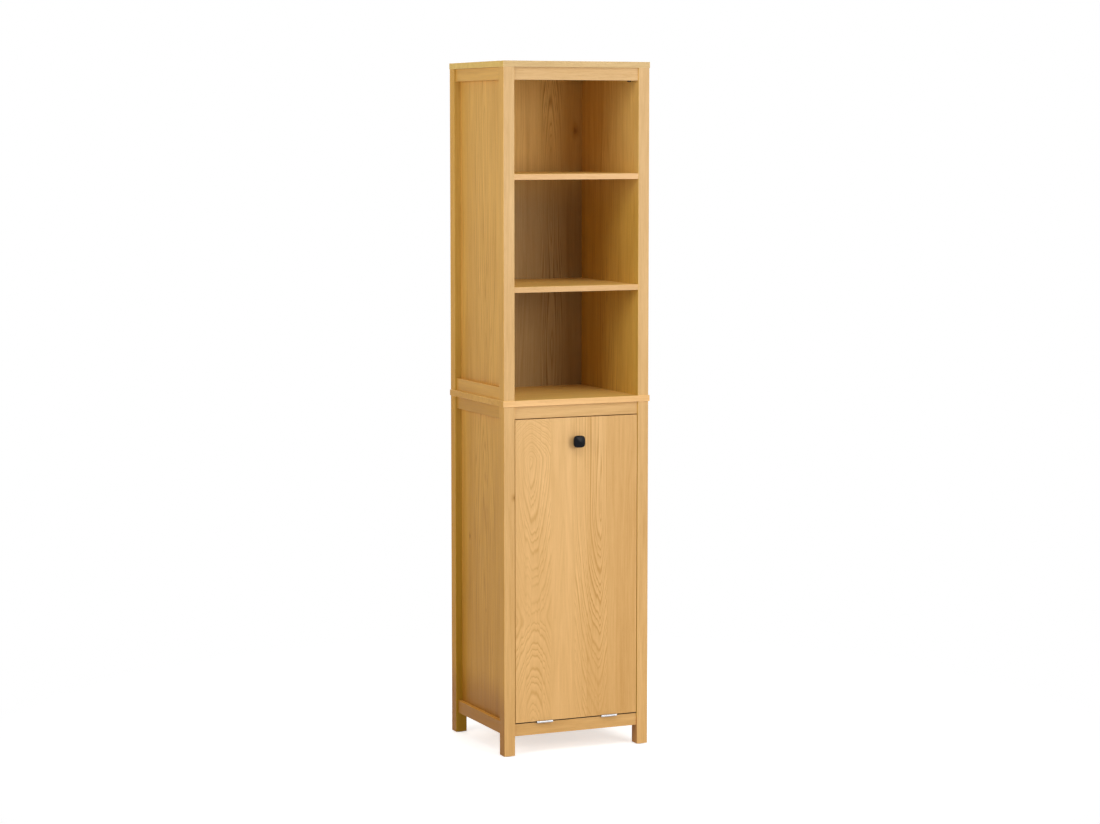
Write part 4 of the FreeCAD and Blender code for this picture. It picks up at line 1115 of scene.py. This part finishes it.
def make_floor():
    """A pale floor that keeps the cabinet's soft shadow."""
    size = FLOOR_HALF
    mesh = bpy.data.meshes.new("floor")
    corners = [(-size, -size, 0), (size, -size, 0), (size, size, 0), (-size, size, 0)]
    mesh.from_pydata(corners, [], [(0, 1, 2, 3)])
    nodes = finish("floor_white")
    diffuse = nodes.add("BsdfDiffuse", {}, {"Color": FLOOR_GREY})
    glow = nodes.add("Emission", {}, {"Color": WHITE, "Strength": FLOOR_GLOW})
    lit = nodes.add("AddShader", {}, {0: diffuse, 1: glow})
    white = nodes.add("Emission", {}, {"Color": WHITE, "Strength": 1.0})
    distance = nodes.add("VectorMath", {"operation": "LENGTH"}, {0: nodes.place()}, out="Value")
    faded = nodes.ease(distance, *FLOOR_FADE)
    blended = nodes.add("MixShader", {}, {0: faded, 1: lit, 2: white})
    surface = nodes.add("MixShader", {}, {0: seen_rays(nodes), 1: diffuse, 2: blended})
    nodes.add("OutputMaterial", {}, {"Surface": surface})
    mesh.materials.append(nodes.owner)
    floor = bpy.data.objects.new("floor", mesh)
    bpy.context.scene.collection.objects.link(floor)


def seen_rays(nodes):
    """1 for rays from the camera and from gloss or glass, 0 for those that carry light."""
    camera_ray = nodes.add("LightPath", {}, {}, out="Is Camera Ray")
    glossy_ray = nodes.add("LightPath", {}, {}, out="Is Glossy Ray")
    clear_ray = nodes.add("LightPath", {}, {}, out="Is Transmission Ray")
    return camera_ray.math("MAXIMUM", glossy_ray).math("MAXIMUM", clear_ray)


def make_surroundings(level):
    """Even white light all round, behind a white background."""
    world = bpy.data.worlds.new("studio")
    nodes = Nodes(world)
    strength = seen_rays(nodes) * (1 - level) + level
    background = nodes.add("Background", {}, {"Color": WHITE, "Strength": strength})
    nodes.add("OutputWorld", {}, {"Surface": background})
    bpy.context.scene.world = world


def soft_lamp(name, place, towards, size, power, colour=(1.0, 1.0, 1.0)):
    """A rectangular lamp that points at a place. Its power is in watts."""
    data = bpy.data.lights.new(name, "AREA")
    data.shape = "RECTANGLE"
    data.size, data.size_y = size
    data.energy = power
    data.color = colour
    lamp = bpy.data.objects.new(name, data)
    lamp.location = place
    aim = Vector(towards) - Vector(place)
    lamp.rotation_euler = aim.to_track_quat("-Z", "Y").to_euler()
    bpy.context.scene.collection.objects.link(lamp)


def make_camera():
    """The photograph's viewpoint: 6.9 m away, left of the front and looking slightly down."""
    data = bpy.data.cameras.new("camera")
    data.sensor_width = 36
    data.lens = LENS
    data.clip_end = 60
    camera = bpy.data.objects.new("camera", data)
    camera.location = CAMERA_PLACE
    camera.rotation_euler = (math.radians(90 - CAMERA_DOWN), 0, math.radians(-CAMERA_RIGHT))
    bpy.context.scene.collection.objects.link(camera)
    bpy.context.scene.camera = camera


make_floor()
make_surroundings(ROOM_LIGHT)
soft_lamp("key", place=(1.25, -3.35, 1.7), towards=(0, 0, 1.1), size=(1.5, 1.5), power=46,
          colour=(1.0, 0.985, 0.96))
soft_lamp("top_light", place=(-0.4, -3.2, 4.4), towards=(0, -0.1, 1.2), size=(2.2, 1.6), power=50)
soft_lamp("left_light", place=(-3.0, -1.2, 1.9), towards=(0, 0, 1.2), size=(1.4, 1.4), power=36,
          colour=(1.0, 0.98, 0.94))
soft_lamp("right_light", place=(3.0, -2.1, 1.1), towards=(0, 0, 0.9), size=(0.9, 0.9), power=10)
soft_lamp("back_light", place=(0.9, 3.6, 2.2), towards=(0, 0.1, 1.0), size=(1.6, 1.6), power=40)
make_camera()
bpy.context.scene.view_settings.view_transform = "Standard"
